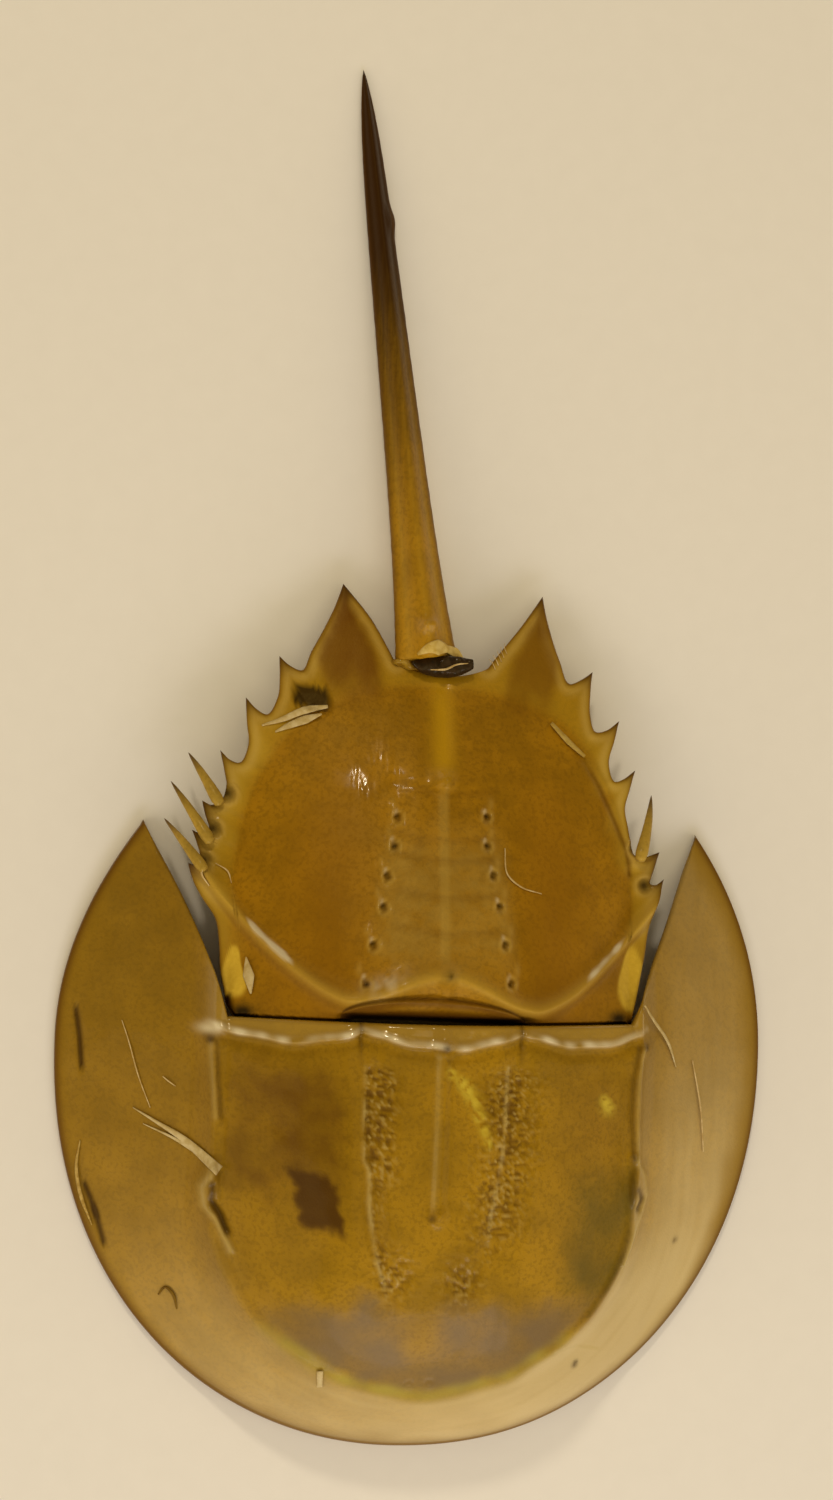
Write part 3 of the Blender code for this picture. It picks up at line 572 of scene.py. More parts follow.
# %% [markdown]
# The height of the rear shield: a dome inside the border line, a sloping margin outside it, the raised middle
# with its two rows of muscle pits, two keel spines and the cross ridge that sweeps back on both sides. In
# front, a lens-shaped half ring stands behind the dark slot of the hinge.

# %% Form of the rear shield
MARGIN_Z_FRONT = 17.5 * MM
MARGIN_Z_REAR = 8.0 * MM
MARGIN_LENGTH = 75.0 * MM
MARGIN_SLOPE = 0.22
CREST_RISE = 1.3 * MM
CREST_DIP_X = 17.0 * MM
FRONT_SPINE_Y = 8.8 * MM
REAR_SPINE_Y = 43.4 * MM
PITS = in_mm([(-8.6, 36.1), (-9.2, 30.9), (-10.5, 25.5), (-11.2, 20.0), (-12.9, 13.2), (-14.0, 6.3),
              (7.7, 37.2), (7.7, 32.0), (8.7, 26.8), (9.8, 21.4), (10.8, 14.7), (12.0, 7.9)])
PIT_DEPTH = 1.0 * MM
AXIS_RISE = 0.9 * MM
HALF_RING_X = -1.0 * MM
HALF_RING_HALF_WIDTH = 17.0 * MM
HALF_RING_DEPTH = 4.3 * MM
SOCKETS = in_mm([(-38.6, 38.2), (-40.8, 31.7), (-42.1, 25.8), (39.4, 26.6), (37.6, 33.4)])


def border_line(progress):
    """The edge of the rear dome: 0 at the tail notch, 1 at its widest, 2 at the front corner."""
    angle = np.minimum(progress, 1.0) * math.pi / 2.0
    ahead = np.maximum(progress - 1.0, 0.0)
    x = BORDER_HALF_WIDTH * np.sin(angle) ** (2.0 / BORDER_POWER) - 0.8 * MM * ahead
    behind = BORDER_LENGTH * np.abs(np.cos(angle)) ** (2.0 / BORDER_POWER)
    return x, BORDER_START_Y + behind - (BORDER_START_Y - 2.0 * MM) * ahead


def border_radius(x, y):
    """1 on the border of the dome, 0 in its middle."""
    back = np.maximum(0.0, (y - BORDER_START_Y) / BORDER_LENGTH)
    return ((np.abs(x) / BORDER_HALF_WIDTH) ** BORDER_POWER + back ** BORDER_POWER) ** (1.0 / BORDER_POWER)


def crest_y(x):
    """The line of the cross ridge."""
    middle = mix(8.8 * MM, 3.4 * MM, smooth(0.0, CREST_DIP_X, np.abs(x)))
    return middle + 19.0 * MM * np.maximum(0.0, (np.abs(x) - CREST_DIP_X) / (24.0 * MM)) ** 1.5


def half_ring_y(x):
    """The rear edge of the half ring behind the slot."""
    return HALF_RING_DEPTH * np.sqrt(np.maximum(0.0, 1.0 - ((x - HALF_RING_X) / HALF_RING_HALF_WIDTH) ** 2))


def rear_form(x, y):
    """Height behind the cross ridge, with the large relief, in rear coordinates."""
    y = np.maximum(y, 0.0)
    edge = mix(MARGIN_Z_FRONT, MARGIN_Z_REAR, y / MARGIN_LENGTH)
    rise = mix(17.0, 9.0, smooth(2.0 * MM, 42.0 * MM, y)) * MM
    radius = border_radius(x, y)
    beyond = np.maximum(0.0, radius - 1.0) * BORDER_HALF_WIDTH
    height = edge + rise * np.maximum(0.0, 1.0 - radius ** 2.2) - MARGIN_SLOPE * beyond
    pit_line = 7.6 * MM + 0.17 * np.maximum(0.0, 38.0 * MM - y)
    raised = smooth(pit_line + 2.0 * MM, pit_line - 3.0 * MM, np.abs(x))
    height += AXIS_RISE * raised * smooth(56.0 * MM, 40.0 * MM, y)
    height += 0.7 * MM * bell(x, 1.1 * MM) * smooth(50.0 * MM, 42.0 * MM, y)
    height += 1.5 * MM * bell(np.hypot(x, y - FRONT_SPINE_Y), 1.7 * MM)
    height += 2.0 * MM * bell(np.hypot(x, y - REAR_SPINE_Y), 1.8 * MM)
    return height + CREST_RISE * bell(y - crest_y(x), 1.9 * MM)


def rear_base(shell_x, shell_y):
    """Height of the rear shield's skin without fine marks, in the whole shell's coordinates."""
    x, y = to_rear(shell_x, shell_y)
    tucked = dome(shell_x, np.full(np.shape(shell_x), HINGE_Y)) - LIP_THICKNESS - 0.7 * MM
    tucked = tucked - 1.2 * MM * smooth(17.5 * MM, 14.5 * MM, np.abs(x))
    tucked = (tucked + 1.7 * MM * smooth(15.5 * MM, 19.0 * MM, np.abs(x))
              * smooth(0.15 * MM, 0.55 * MM, shell_y - HINGE_Y))
    hinge_here = to_rear(shell_x, HINGE_Y + 0.5 * MM)[1]
    behind = rear_form(x, y)
    share = smooth(0.0, 1.0, (y - hinge_here) / np.maximum(1.5 * MM, crest_y(x) - hinge_here))
    return mix(np.minimum(tucked, behind + 3.0 * MM), behind, share ** 0.7)


print("crest on the midline in mm:", round(float(crest_y(np.array(0.0))) / MM, 1))

# %% [markdown]
# The rear shield carries a torn hole, a brown heart in each end spine, cross folds and a groove along its
# border. Folds and groove are kept as lines. The hole and the hearts are shares between 0 and 1 in plan.
# All of them are used twice, for the shape and for the colour.

# %% Fine relief of the rear shield
SPINE_TIPS = {side: [(side * x * MM, y * MM) for kind, x, y in margin if kind == "T"]
              for side, margin in ((-1.0, LEFT_MARGIN), (1.0, RIGHT_MARGIN))}
SPINE_ROOTS = {side: [(0.84 * x, y - 0.3 * abs(x) if abs(x) < 20.0 * MM else y - 3.0 * MM) for x, y in tips]
               for side, tips in SPINE_TIPS.items()}
BORDER_GROOVE = in_mm([(23.5, 52.0), (26.9, 48.6), (29.6, 44.5), (31.9, 40.2), (34.0, 36.0), (35.7, 32.9),
                       (36.4, 28.5)])
CROSS_FOLDS = in_mm([(0.35, 41.8), (0.2, 33.4), (0.28, 29.7), (0.2, 23.2), (0.2, 16.8)])
END_SPINE_HEARTS = {-1.0: in_mm([(-16.5, 59.0), (-17.9, 66.0), (-18.6, 75.5)]),
                    1.0: in_mm([(16.0, 59.0), (17.4, 66.0), (18.4, 76.0)])}


def hole_share(x, y):
    """1 inside the torn hole by the third left spine, 0 outside it."""
    across = np.abs(x + 24.1 * MM) / (3.2 * MM)
    along = np.abs(y - 56.6 * MM + 0.15 * (x + 24.0 * MM)) / (2.0 * MM)
    return smooth(1.25, 0.8, (across ** 4 + along ** 4) ** 0.25 + 0.12 * speckle(x, y, 1.2 * MM, 15.0))


def heart_share(x, y):
    """1 in the brown middle of the two end spines, 0 on their pale margins."""
    share = np.zeros(np.shape(x))
    width = mix(5.3, 1.0, smooth(63.0 * MM, 77.0 * MM, y)) * MM * np.where(x < 0.0, 1.0, 0.85)
    ragged = 0.8 * MM * speckle(x, y, 2.6 * MM, 51.0)
    for points in END_SPINE_HEARTS.values():
        share += smooth(width + 1.3 * MM, width - 1.3 * MM, line_distance(x, y, points) + ragged)
    return (np.clip(share, 0.0, 1.0) * smooth(53.0 * MM, 64.0 * MM, y + 2.5 * ragged)
            * np.where(x < 0.0, 1.0, 0.75))


def glint_share(x, y):
    """1 on the small rough spots of the rear dome that catch the light."""
    share = 0.35 * bell(np.hypot(x + 12.0 * MM, (y - 46.0 * MM) * 0.8), 6.0 * MM)
    for spot_x, spot_y, size in ((-14.2, 41.1, 1.8), (-16.0, 44.0, 1.0), (-11.9, 48.5, 1.3),
                                 (-1.8, 44.0, 1.8), (-7.4, 42.0, 1.2)):
        share += bell(np.hypot(x - spot_x * MM, y - spot_y * MM), size * MM)
    return np.clip(share, 0.0, 1.0)


print("spine tips left and right:", len(SPINE_TIPS[-1.0]), len(SPINE_TIPS[1.0]))

# %% [markdown]
# Pits, sockets and the hole are the deepest marks of the rear shield. They too are held inside the wall, and
# the wall is thinner near the margin and at the hinge, so the rows there allow even less.

# %% All fine marks of the rear shield
REAR_DEEPEST = 0.85 * MM


def rear_detail(x, y):
    """Small marks of the rear shield, in rear coordinates."""
    height = np.zeros(np.shape(x))
    for pit_x, pit_y in PITS:
        away = np.hypot(x - pit_x, (y - pit_y) * 0.85)
        height += 0.28 * MM * bell(away - 1.05 * MM, 0.4 * MM) - PIT_DEPTH * bell(away, 0.6 * MM)
        beyond_pit = np.hypot(x - pit_x * 1.1, (y - pit_y - 2.4 * MM) * 0.6)
        height += 0.2 * MM * bell(beyond_pit, 0.6 * MM)
    for side in (-1.0, 1.0):
        for tip, root in zip(SPINE_TIPS[side][1:], SPINE_ROOTS[side][1:]):
            height += 0.25 * MM * bell(line_distance(x, y, [root, tip]), 0.8 * MM)
    for socket_x, socket_y in SOCKETS:
        away = np.hypot(x - socket_x, y - socket_y)
        height += 0.45 * MM * bell(away - 1.8 * MM, 0.45 * MM) - 1.4 * MM * bell(away, 1.1 * MM)
    height += 0.9 * MM * bell(np.hypot(x, y - REAR_SPINE_Y), 0.7 * MM)
    height += 0.7 * MM * bell(np.hypot(x, y - FRONT_SPINE_Y), 0.7 * MM)
    height += 0.8 * MM * bell(y - crest_y(x), 1.5 * MM) * smooth(13.0 * MM, 20.0 * MM, np.abs(x))
    ring = half_ring_y(x)
    on_ring = smooth(0.0, 0.5 * MM, ring) * smooth(ring + 0.4 * MM, ring - 0.3 * MM, y)
    height += 1.5 * MM * on_ring * smooth(0.4 * MM, 1.7 * MM, y)
    height -= (1.2 * MM * smooth(0.9 * MM, 0.1 * MM, y)
               * smooth(18.0 * MM, 15.0 * MM, np.abs(x - HALF_RING_X)))
    between = (smooth(16.0 * MM, 13.0 * MM, np.abs(x)) * smooth(6.0 * MM, 9.0 * MM, y)
               * smooth(46.0 * MM, 38.0 * MM, y))
    height += ((0.09 * MM * speckle(x, y, 2.1 * MM, 2.0) + 0.14 * MM * speckle(x, y * 2.4, 4.5 * MM, 8.0))
               * between)
    height += 0.35 * MM * np.abs(speckle(x, y, 1.2 * MM, 6.0)) * glint_share(x, y)
    height += 0.25 * MM * speckle(x, y, 9.0 * MM, 4.0) + 0.06 * MM * speckle(x, y, 2.8 * MM, 7.0)
    for depth, fold_y in CROSS_FOLDS:
        bend = fold_y - 0.8 * MM * np.cos(x / (5.0 * MM))
        height -= depth * bell(y - bend, 0.5 * MM) * smooth(11.5 * MM, 9.0 * MM, np.abs(x))
    height -= 0.45 * MM * bell(line_distance(x, y, BORDER_GROOVE), 0.6 * MM)
    height += (0.12 * MM * heart_share(x, y) - 0.45 * MM * bell(x, 1.1 * MM)
               * smooth(10.0 * MM, 14.0 * MM, y))
    height -= 1.5 * MM * hole_share(x, y)
    return np.maximum(height, -REAR_DEEPEST)


def rear_top(shell_x, shell_y):
    """Height of the rear shield's upper skin, in the whole shell's coordinates."""
    return rear_base(shell_x, shell_y) + rear_detail(*to_rear(shell_x, shell_y))


keel_spine = float(rear_top(*map(np.array, to_shell(0.0, REAR_SPINE_Y))))
print("rear keel spine stands at mm:", round(keel_spine / MM, 1))

# %% [markdown]
# The ribs of the rear shield start at the hinge, pass the crest and the border of the dome, and end on the
# spiny margin. A rib ends at every small step of the margin, so that tips stay sharp and notches round.

# %% Rear shield
TUCK = 1.2 * MM
MIDDLE_COLUMNS = 27
CREST_ROWS = 34
DOME_ROWS = 72
MARGIN_SHARES = (0.12, 0.24, 0.37, 0.50, 0.62, 0.73, 0.83, 0.91, 0.97)
EDGE_ROW = CREST_ROWS + DOME_ROWS - 1 + len(MARGIN_SHARES)


def rear_columns():
    """Plan points of every rib: on the hinge, on the border of the dome and on the margin."""
    parts = []
    for side in (-1.0, 1.0):
        line, progress = margins[side]
        border_x, border_y = border_line(progress)
        hinge_x = mix(0.86, 0.985, np.maximum(0.0, progress - 1.0)) * border_x
        parts.append([side * hinge_x, side * border_x, border_y, side * line[:, 0], line[:, 1]])
    share = np.linspace(-1.0, 1.0, MIDDLE_COLUMNS)[1:-1]
    first_progress = np.where(share < 0.0, margins[-1.0][1][0], margins[1.0][1][0])
    border_x, border_y = border_line(np.abs(share) * first_progress)
    border_x = border_x * np.sign(share)
    notch_x = np.where(share < 0.0, LEFT_MARGIN[0][1], RIGHT_MARGIN[0][1]) * MM * share
    notch_y = 62.4 * MM + 1.9 * MM * np.abs(share) ** 2.2
    middle = [0.86 * border_x, border_x, border_y, notch_x, notch_y]
    measures = zip(parts[0], middle, parts[1])
    return [np.concatenate([left[::-1], centre, right]) for left, centre, right in measures]


def rear_wall():
    """Places of the rear shield's wall, one loop for each rib."""
    hinge_x, border_x, border_y, edge_x, edge_y = rear_columns()
    hinge = np.stack([hinge_x + REAR_ORIGIN[0], np.full(np.shape(hinge_x), HINGE_Y - TUCK)], axis=-1)
    border = np.stack(to_shell(border_x, border_y), axis=-1)
    edge = np.stack(to_shell(edge_x, edge_y), axis=-1)
    low, high = np.zeros(len(hinge)), np.full(len(hinge), 0.8)
    for _step in range(20):
        middle = 0.5 * (low + high)
        x, y = to_rear(*mix(hinge, border, middle[:, None]).T)
        before = y < crest_y(x)
        low, high = np.where(before, middle, low), np.where(before, high, middle)
    crest = high
    thin = np.minimum(1.0, np.linalg.norm(edge - border, axis=-1) / (4.0 * MM))

    def place(first, second, share, top=rear_top, lift=0.0):
        plan = mix(first, second, np.broadcast_to(share, crest.shape)[:, None])
        return np.column_stack([plan, top(plan[:, 0], plan[:, 1]) + lift])

    def shallow(first, second, share, deepest, lift=0.0):
        """A row of the upper skin whose marks are not deeper than the given depth."""
        full = place(first, second, share)
        base = place(first, second, share, rear_base)
        full[:, 2] = np.maximum(full[:, 2], base[:, 2] - deepest) + lift
        return full

    rows = []
    for share in np.linspace(0.0, 1.0, CREST_ROWS):
        along = crest * share ** 1.35
        rows.append(shallow(hinge, border, along, mix(0.2 * MM, REAR_DEEPEST, smooth(0.03, 0.12, along))))
    rows += [place(hinge, border, mix(crest, 1.0, share)) for share in np.linspace(0.0, 1.0, DOME_ROWS)[1:]]
    for share in MARGIN_SHARES:
        sunk = 0.42 * MM * thin * share ** 5
        rows.append(shallow(border, edge, share, 0.6 * (mix(0.7, 1.9, (1.0 - share) ** 0.7) * MM - sunk),
                            -sunk))
    rows.append(shallow(border, edge, 1.0, 0.0, -0.62 * MM))
    for share in (0.97, 0.9, 0.8, 0.65, 0.45, 0.2):
        rows.append(place(border, edge, share, rear_base, -mix(0.7, 1.9, (1.0 - share) ** 0.7) * MM))
    rows.append(place(hinge, border, 0.96, rear_base, -1.9 * MM))
    rows += [place(hinge, border, share, rear_base, -WALL) for share in np.linspace(0.9, 0.03, 20)]
    rows.append(place(hinge, border, 0.01, rear_base, -0.9 * MM))
    return np.stack(rows)


rear_places = rear_wall()
corner_ends = []
for column, side in ((0, -1.0), (-1, 1.0)):
    corner = rear_places[EDGE_ROW, column]
    corner_ends.append(Vector(corner.tolist()) + Vector((-side * 0.3, -2.0, -0.3)) * MM)
rear_shield = finish_piece("rear_shield", rolled_wall(rear_places, *corner_ends),
                           "opisthosoma")

# %% [markdown]
# The tail spine is a long three-sided spike with a keel on top. Its section is one closed curve, which is
# scaled along a straight axis. Its knob lies under the notch of the rear shield.

# %% Tail spine
TELSON_BASE = Vector((-0.8, 18.2, 9.4)) * MM
TELSON_TIP = Vector((-14.6, 126.6, 0.55)) * MM
TELSON_KNOB_LENGTH = 5.0 * MM
TELSON_KINK = 28.7 * MM
TELSON_SECTION = [(1.0, -0.10), (0.62, 0.16), (0.16, 0.42), (-0.16, 0.42), (-0.62, 0.16), (-1.0, -0.10),
                  (-0.55, -0.34), (0.0, -0.28), (0.55, -0.34)]
TELSON_STATIONS = 190


def telson_width(distance):
    """Width of the tail spine at a distance from its tip."""
    share = distance / (110.0 * MM)
    return 3.4 * MM * (1.0 - np.exp(-distance / (9.0 * MM))) + 0.052 * distance + 2.4 * MM * share ** 7


def closed_curve(points, steps):
    """A smooth closed curve through the points, with a few places between each two."""
    points = np.array(points)
    before, after, beyond = np.roll(points, 1, 0), np.roll(points, -1, 0), np.roll(points, -2, 0)
    places = []
    for step in range(steps):
        t = step / steps
        places.append(0.5 * (2 * points + (after - before) * t
                             + (2 * before - 5 * points + 4 * after - beyond) * t ** 2
                             + (3 * points - before - 3 * after + beyond) * t ** 3))
    return np.stack(places, axis=1).reshape(-1, 2)


def axes_along(start, end):
    """Unit vectors ahead, to the right and up for a piece that runs from start to end."""
    ahead = (end - start).normalized()
    right = ahead.cross(Vector((0.0, 0.0, 1.0))).normalized()
    return [np.array(axis) for axis in (ahead, right, right.cross(ahead))]


def telson_wall():
    """Places of the tail spine, rows round its section by columns along it."""
    ahead, right, up = axes_along(TELSON_BASE, TELSON_TIP)
    base = np.array(TELSON_BASE)
    length = (TELSON_TIP - TELSON_BASE).length
    section = closed_curve(TELSON_SECTION, 4)
    loops = []
    for share in np.linspace(0.0, 1.0, 14):
        centre = base - ahead * TELSON_KNOB_LENGTH * (1.0 - share) - up * 3.2 * MM * (1.0 - share ** 2)
        half = mix(2.6, 3.6, share) * MM * math.sqrt(min(1.0, 0.25 + 4.0 * share))
        across, over = np.outer(section[:, 0], right) * half, np.outer(section[:, 1], up) * half * 0.75
        loops.append(centre + across + over)
    for share in np.linspace(0.0, 0.985, TELSON_STATIONS):
        left_to_go = length * (1.0 - share)
        width = telson_width(left_to_go)
        rough = 1.0 + 0.018 * noise.noise(Vector((share * 60.0, 0.0, 0.0)))
        kink = 0.55 * MM * bell(left_to_go - TELSON_KINK, 2.2 * MM)
        side = section[:, 0] * width * 0.5 * rough + np.where(section[:, 0] > 0.5, kink, 0.0)
        knob = (1.3 * MM * bell(length * share - 5.6 * MM, 1.0 * MM)
                * bell(np.abs(section[:, 0] - 0.1) - 0.16, 0.2))
        flute = 0.03 * bell(np.abs(section[:, 0]) - 0.62, 0.16) * (section[:, 1] > 0.0)
        top = (section[:, 1] - flute) * width + knob * (section[:, 1] > 0.0)
        loops.append(base + ahead * (length * share + 0.4 * MM) + np.outer(side, right) + np.outer(top, up))
    return np.stack(loops, axis=1)


telson_places = telson_wall()
toward_knob = (TELSON_BASE - TELSON_TIP).normalized()
knob_end = Vector(telson_places[:, 0].mean(axis=0).tolist()) + toward_knob * 0.6 * MM
tail_spine = finish_piece("tail_spine", rolled_wall(telson_places, knob_end, TELSON_TIP),
                          "telson")

# %% [markdown]
# Four side spines are still in their sockets. On the living animal they are hinged and swing; here they have
# dried in place. Each is a curved cone, a little narrower where it stands in its socket.

# %% Loose side spines
LOOSE_SPINES = {
    "movable_spine_left_rear": ((-40.1, 36.3), (-45.6, 45.1, 6.6), 1.25),
    "movable_spine_left_mid": ((-41.4, 29.3), (-48.4, 39.7, 6.4), 1.25),
    "movable_spine_left_front": ((-42.4, 24.3), (-49.2, 32.9, 6.8), 1.15),
    "movable_spine_right": ((37.9, 31.4), (41.1, 43.3, 6.4), 1.3),
}
GAP = 0.35 * MM


def loose_spine(node, base_plan, tip_rear, radius):
    """One hinged spine, from its root on the margin to its dark tip."""
    root = to_shell(base_plan[0] * MM, base_plan[1] * MM)
    tip = Vector((*to_shell(tip_rear[0] * MM, tip_rear[1] * MM), tip_rear[2] * MM))
    root_z = float(rear_base(np.array(root[0]), np.array(root[1])))
    start = Vector((root[0], root[1], root_z + radius * MM + GAP))
    ahead, right, up = axes_along(start, tip)
    length = (tip - start).length
    loops = []
    turns = np.linspace(0.0, 2.0 * math.pi, 20, endpoint=False)
    for share in np.linspace(0.0, 0.96, 44):
        swell = mix(0.72, 1.0, float(smooth(0.0, 0.1, share))) * (1.0 - share) ** 0.7
        size = radius * MM * swell * (1.0 + 0.06 * noise.noise(Vector((share * 14.0, radius, 0.0))))
        centre = np.array(start) + ahead * length * share + up * 1.1 * MM * math.sin(math.pi * share)
        across, over = np.outer(np.cos(turns), right) * size, np.outer(np.sin(turns), up) * size * 0.8
        loops.append(centre + across + over)
    base = start - Vector(ahead.tolist()) * 0.35 * radius * MM
    return finish_piece(node + "_skin", rolled_wall(np.stack(loops, axis=1), base, tip),
                        node)


loose_spines = [loose_spine(node, *measures) for node, measures in LOOSE_SPINES.items()]

# %% [markdown]
# A material is a small network of nodes. Written out node by node it hides what it does, so one class wraps
# a socket and lets Python's own signs add the nodes: 1 - mask is one Math node.

# %% A socket that can be added and multiplied


class Wire:
    """One output socket of a material's nodes."""

    def __init__(self, tree, socket):
        self.tree = tree
        self.socket = socket

    def node(self, kind, settings=None, inputs=None, output=0):
        """Adds any other node: its settings first, then the values or wires of its sockets."""
        made = self.tree.nodes.new(kind)
        for name, value in (settings or {}).items():
            if name == "stops":
                for index, (position, colour) in enumerate(value):
                    stop = (made.color_ramp.elements[index] if index < 2
                            else made.color_ramp.elements.new(position))
                    stop.position = position
                    stop.color = colour
            else:
                setattr(made, name, value)
        for name, value in (inputs or {}).items():
            if isinstance(value, Wire):
                self.tree.links.new(value.socket, made.inputs[name])
            else:
                made.inputs[name].default_value = value
        return Wire(self.tree, made.outputs[output])

    def maths(self, operation, first, second=0.0, clamp=False):
        return self.node("ShaderNodeMath", {"operation": operation, "use_clamp": clamp},
                         {0: first, 1: second})

    def __add__(self, other):
        return self.maths("ADD", self, other)

    __radd__ = __add__

    def __mul__(self, other):
        return self.maths("MULTIPLY", self, other)

    __rmul__ = __mul__

    def __sub__(self, other):
        return self.maths("SUBTRACT", self, other)

    def __rsub__(self, other):
        return self.maths("SUBTRACT", other, self)

    def clamped(self):
        return self.maths("ADD", self, 0.0, clamp=True)

    def between(self, low, high):
        """0 below low, 1 above high, with soft ends."""
        settings = {"interpolation_type": "SMOOTHSTEP"}
        return self.node("ShaderNodeMapRange", settings, {"Value": self, "From Min": low, "From Max": high})


def blend_colour(share, first, second):
    """The colour first where share is 0 and second where it is 1."""
    inputs = {"Factor": share, 6: first, 7: second}
    return share.node("ShaderNodeMix", {"data_type": "RGBA"}, inputs, output=2)


def start_material(name, roughness, coat):
    """A new material: its shader, and a wire that carries object coordinates."""
    material = bpy.data.materials.new(name)
    material.use_nodes = True
    shader = material.node_tree.nodes["Principled BSDF"]
    shader.inputs["Roughness"].default_value = roughness
    shader.inputs["Coat Weight"].default_value = coat
    shader.inputs["Coat Roughness"].default_value = 0.12
    shader.inputs["Specular IOR Level"].default_value = 0.22
    shader.inputs["Specular Tint"].default_value = (1.0, 0.74, 0.22, 1.0)
    coordinates = material.node_tree.nodes.new("ShaderNodeTexCoord")
    return material, shader, Wire(material.node_tree, coordinates.outputs["Object"])


def attach(wire, shader, socket):
    """Leads a wire into one socket of the shader."""
    wire.tree.links.new(wire.socket, shader.inputs[socket])


def grain(place, scale, detail=2.0, rough=0.5):
    """Noise between 0 and 1 with features of about 1 / scale metres."""
    inputs = {"Vector": place, "Scale": scale, "Detail": detail, "Roughness": rough}
    return place.node("ShaderNodeTexNoise", None, inputs)


def painted(place, name):
    """A value that was painted on the vertices of the piece."""
    return place.node("ShaderNodeAttribute", {"attribute_name": name}, None, output=2)


def rgb(red, green, blue):
    return (red, green, blue, 1.0)


def tint(colour, place, zone, strength, tone):
    """The colour so far with one painted zone blended over it."""
    return blend_colour(painted(place, zone) * strength, colour, rgb(*tone))


def paint(piece, **layers):
    """Stores values on the vertices of a piece, one layer for each name."""
    for name, values in layers.items():
        layer = piece.data.attributes.new(name, "FLOAT", "POINT")
        layer.data.foreach_set("value", np.clip(values, 0.0, 1.0).astype(np.float32))


def vertex_places(piece):
    """The x, y and z of every vertex."""
    places = np.zeros(len(piece.data.vertices) * 3, np.float32)
    piece.data.vertices.foreach_get("co", places)
    return places.reshape(-1, 3).astype(float).T


print("a wire adds, subtracts and multiplies; paint() stores layers on a mesh")

# %% [markdown]
# Chitin is clear amber over whatever lies under it. Where the shell is a thin flange near the table, it lets
# the pale ground through; over the hollow of the dome it looks deep and brown. Those zones follow the shape,
# so they are painted on the vertices from the same formulas that made it.

# %% Zones of the front shield


def nearest(x, y, line, reach):
    """Distance in plan to the closest of many places, no more than reach."""
    away = np.full(len(x), reach)
    for place_x, place_y in line:
        away = np.minimum(away, np.hypot(x - place_x, y - place_y))
    return away


def inside(value, low, high, soft):
    """1 between low and high, with soft ends."""
    return smooth(low - soft, low + soft, value) * smooth(high + soft, high - soft, value)


x, y, z = vertex_places(front_shield)
out = vault_distance(x, y)
sideways = x / SHIELD_HALF_WIDTH
forward = smooth(-60.0 * MM, -112.0 * MM, y)
uneven = 0.9 * MM * speckle(x, y, 7.0 * MM, 1.0)
ragged = 1.1 * MM * speckle(x, y, 3.4 * MM, 31.0) + 0.5 * MM * speckle(x, y, 1.2 * MM, 33.0)
soft_edge = 5.0 * MM * smooth(-0.1, -0.5, sideways)
border_wave = 0.5 * soft_edge * speckle(x, y, 9.0 * MM, 2.0)
flange = smooth(-0.8 * MM - soft_edge, 2.2 * MM + soft_edge, out + uneven + border_wave)
# The flange is painted paler on its right side: painted light on that side.
right_share = smooth(-0.2, 0.8, sideways) * mix(0.3, 0.46, smooth(-44.0 * MM, -66.0 * MM, y))
front_share = 0.66 * forward * smooth(-1.1, 0.35, sideways + 0.25 * forward)
pale = flange * np.clip(0.06 + right_share + front_share, 0.0, 1.0)
around = np.arctan2(x, SHIELD_WIDEST_Y - y) * 60.0 * MM
pale *= (1.0 - 0.5 * bell(out - 3.0 * MM, 5.0 * MM) * smooth(20.0 * MM, 30.0 * MM, x)
         * smooth(-96.0 * MM, -82.0 * MM, y))
pale *= 1.0 + 0.15 * speckle(out * 2.2, around * 0.35, 3.0 * MM, 41.0)
print("share of vertices on the flange:", round(float(flange.mean()), 2))

# %% [markdown]
# These zones do not follow the shape, and most of them are painted light: painted shade in dark patches and a
# painted reflection in front. Each is a soft-edged box or spot in plan, and its edge is made uneven by adding
# noise to the position before it is compared with the box.

# %% Painted shade, painted reflection and a yellow band on the front shield
# Painted shadow: the dark brown patches on the left of the vault, and the darker block among them, stand for
# the shadows of the legs under the shell, seen through it. A soft dark spot on the right is added to the same
# layer.
brown = (inside(x + 1.8 * ragged, -35.5 * MM, -17.5 * MM, 2.6 * MM)
         * inside(y + 2.2 * ragged, -77.0 * MM, -55.0 * MM, 4.5 * MM))
brown *= 0.62 + 0.5 * speckle(x, y, 7.0 * MM, 35.0) + 0.25 * speckle(x, y, 2.4 * MM, 36.0)
block = inside(x + 1.3 * ragged + 0.25 * (y + 78.0 * MM), -25.0 * MM, -17.8 * MM, 1.0 * MM)
block *= inside(y + 1.3 * ragged + 0.3 * (x + 21.0 * MM), -83.6 * MM, -74.0 * MM, 1.2 * MM)
brown = np.maximum(brown, block * (0.95 + 0.3 * speckle(x, y, 2.4 * MM, 36.0)))
brown = brown + 0.3 * bell(np.hypot(x - 29.0 * MM, (y + 64.0 * MM) * 0.8), 7.0 * MM)
# Painted shade: a greenish dark patch in the low ground inside the right eye ridge.
green = (inside(x + 2.2 * ragged, 26.0 * MM, 60.0 * MM, 5.0 * MM)
         * inside(y + 2.4 * ragged, -98.5 * MM, -74.5 * MM, 4.5 * MM))
green *= smooth(0.6 * MM, -0.4 * MM, out) * (0.75 + 0.4 * speckle(x, y, 6.0 * MM, 37.0))
# Painted shade: the rear part of the shield is painted darker, most on the left side, and a little near the
# hinge on the right.
dusk = smooth(-110.0 * MM, -58.0 * MM, y) * smooth(12.0 * MM, -24.0 * MM, x + 2.0 * ragged)
dusk += 0.5 * smooth(-72.0 * MM, -50.0 * MM, y) * smooth(14.0 * MM, 24.0 * MM, x)
dusk *= 0.8 + 0.35 * speckle(x, y, 9.0 * MM, 45.0)
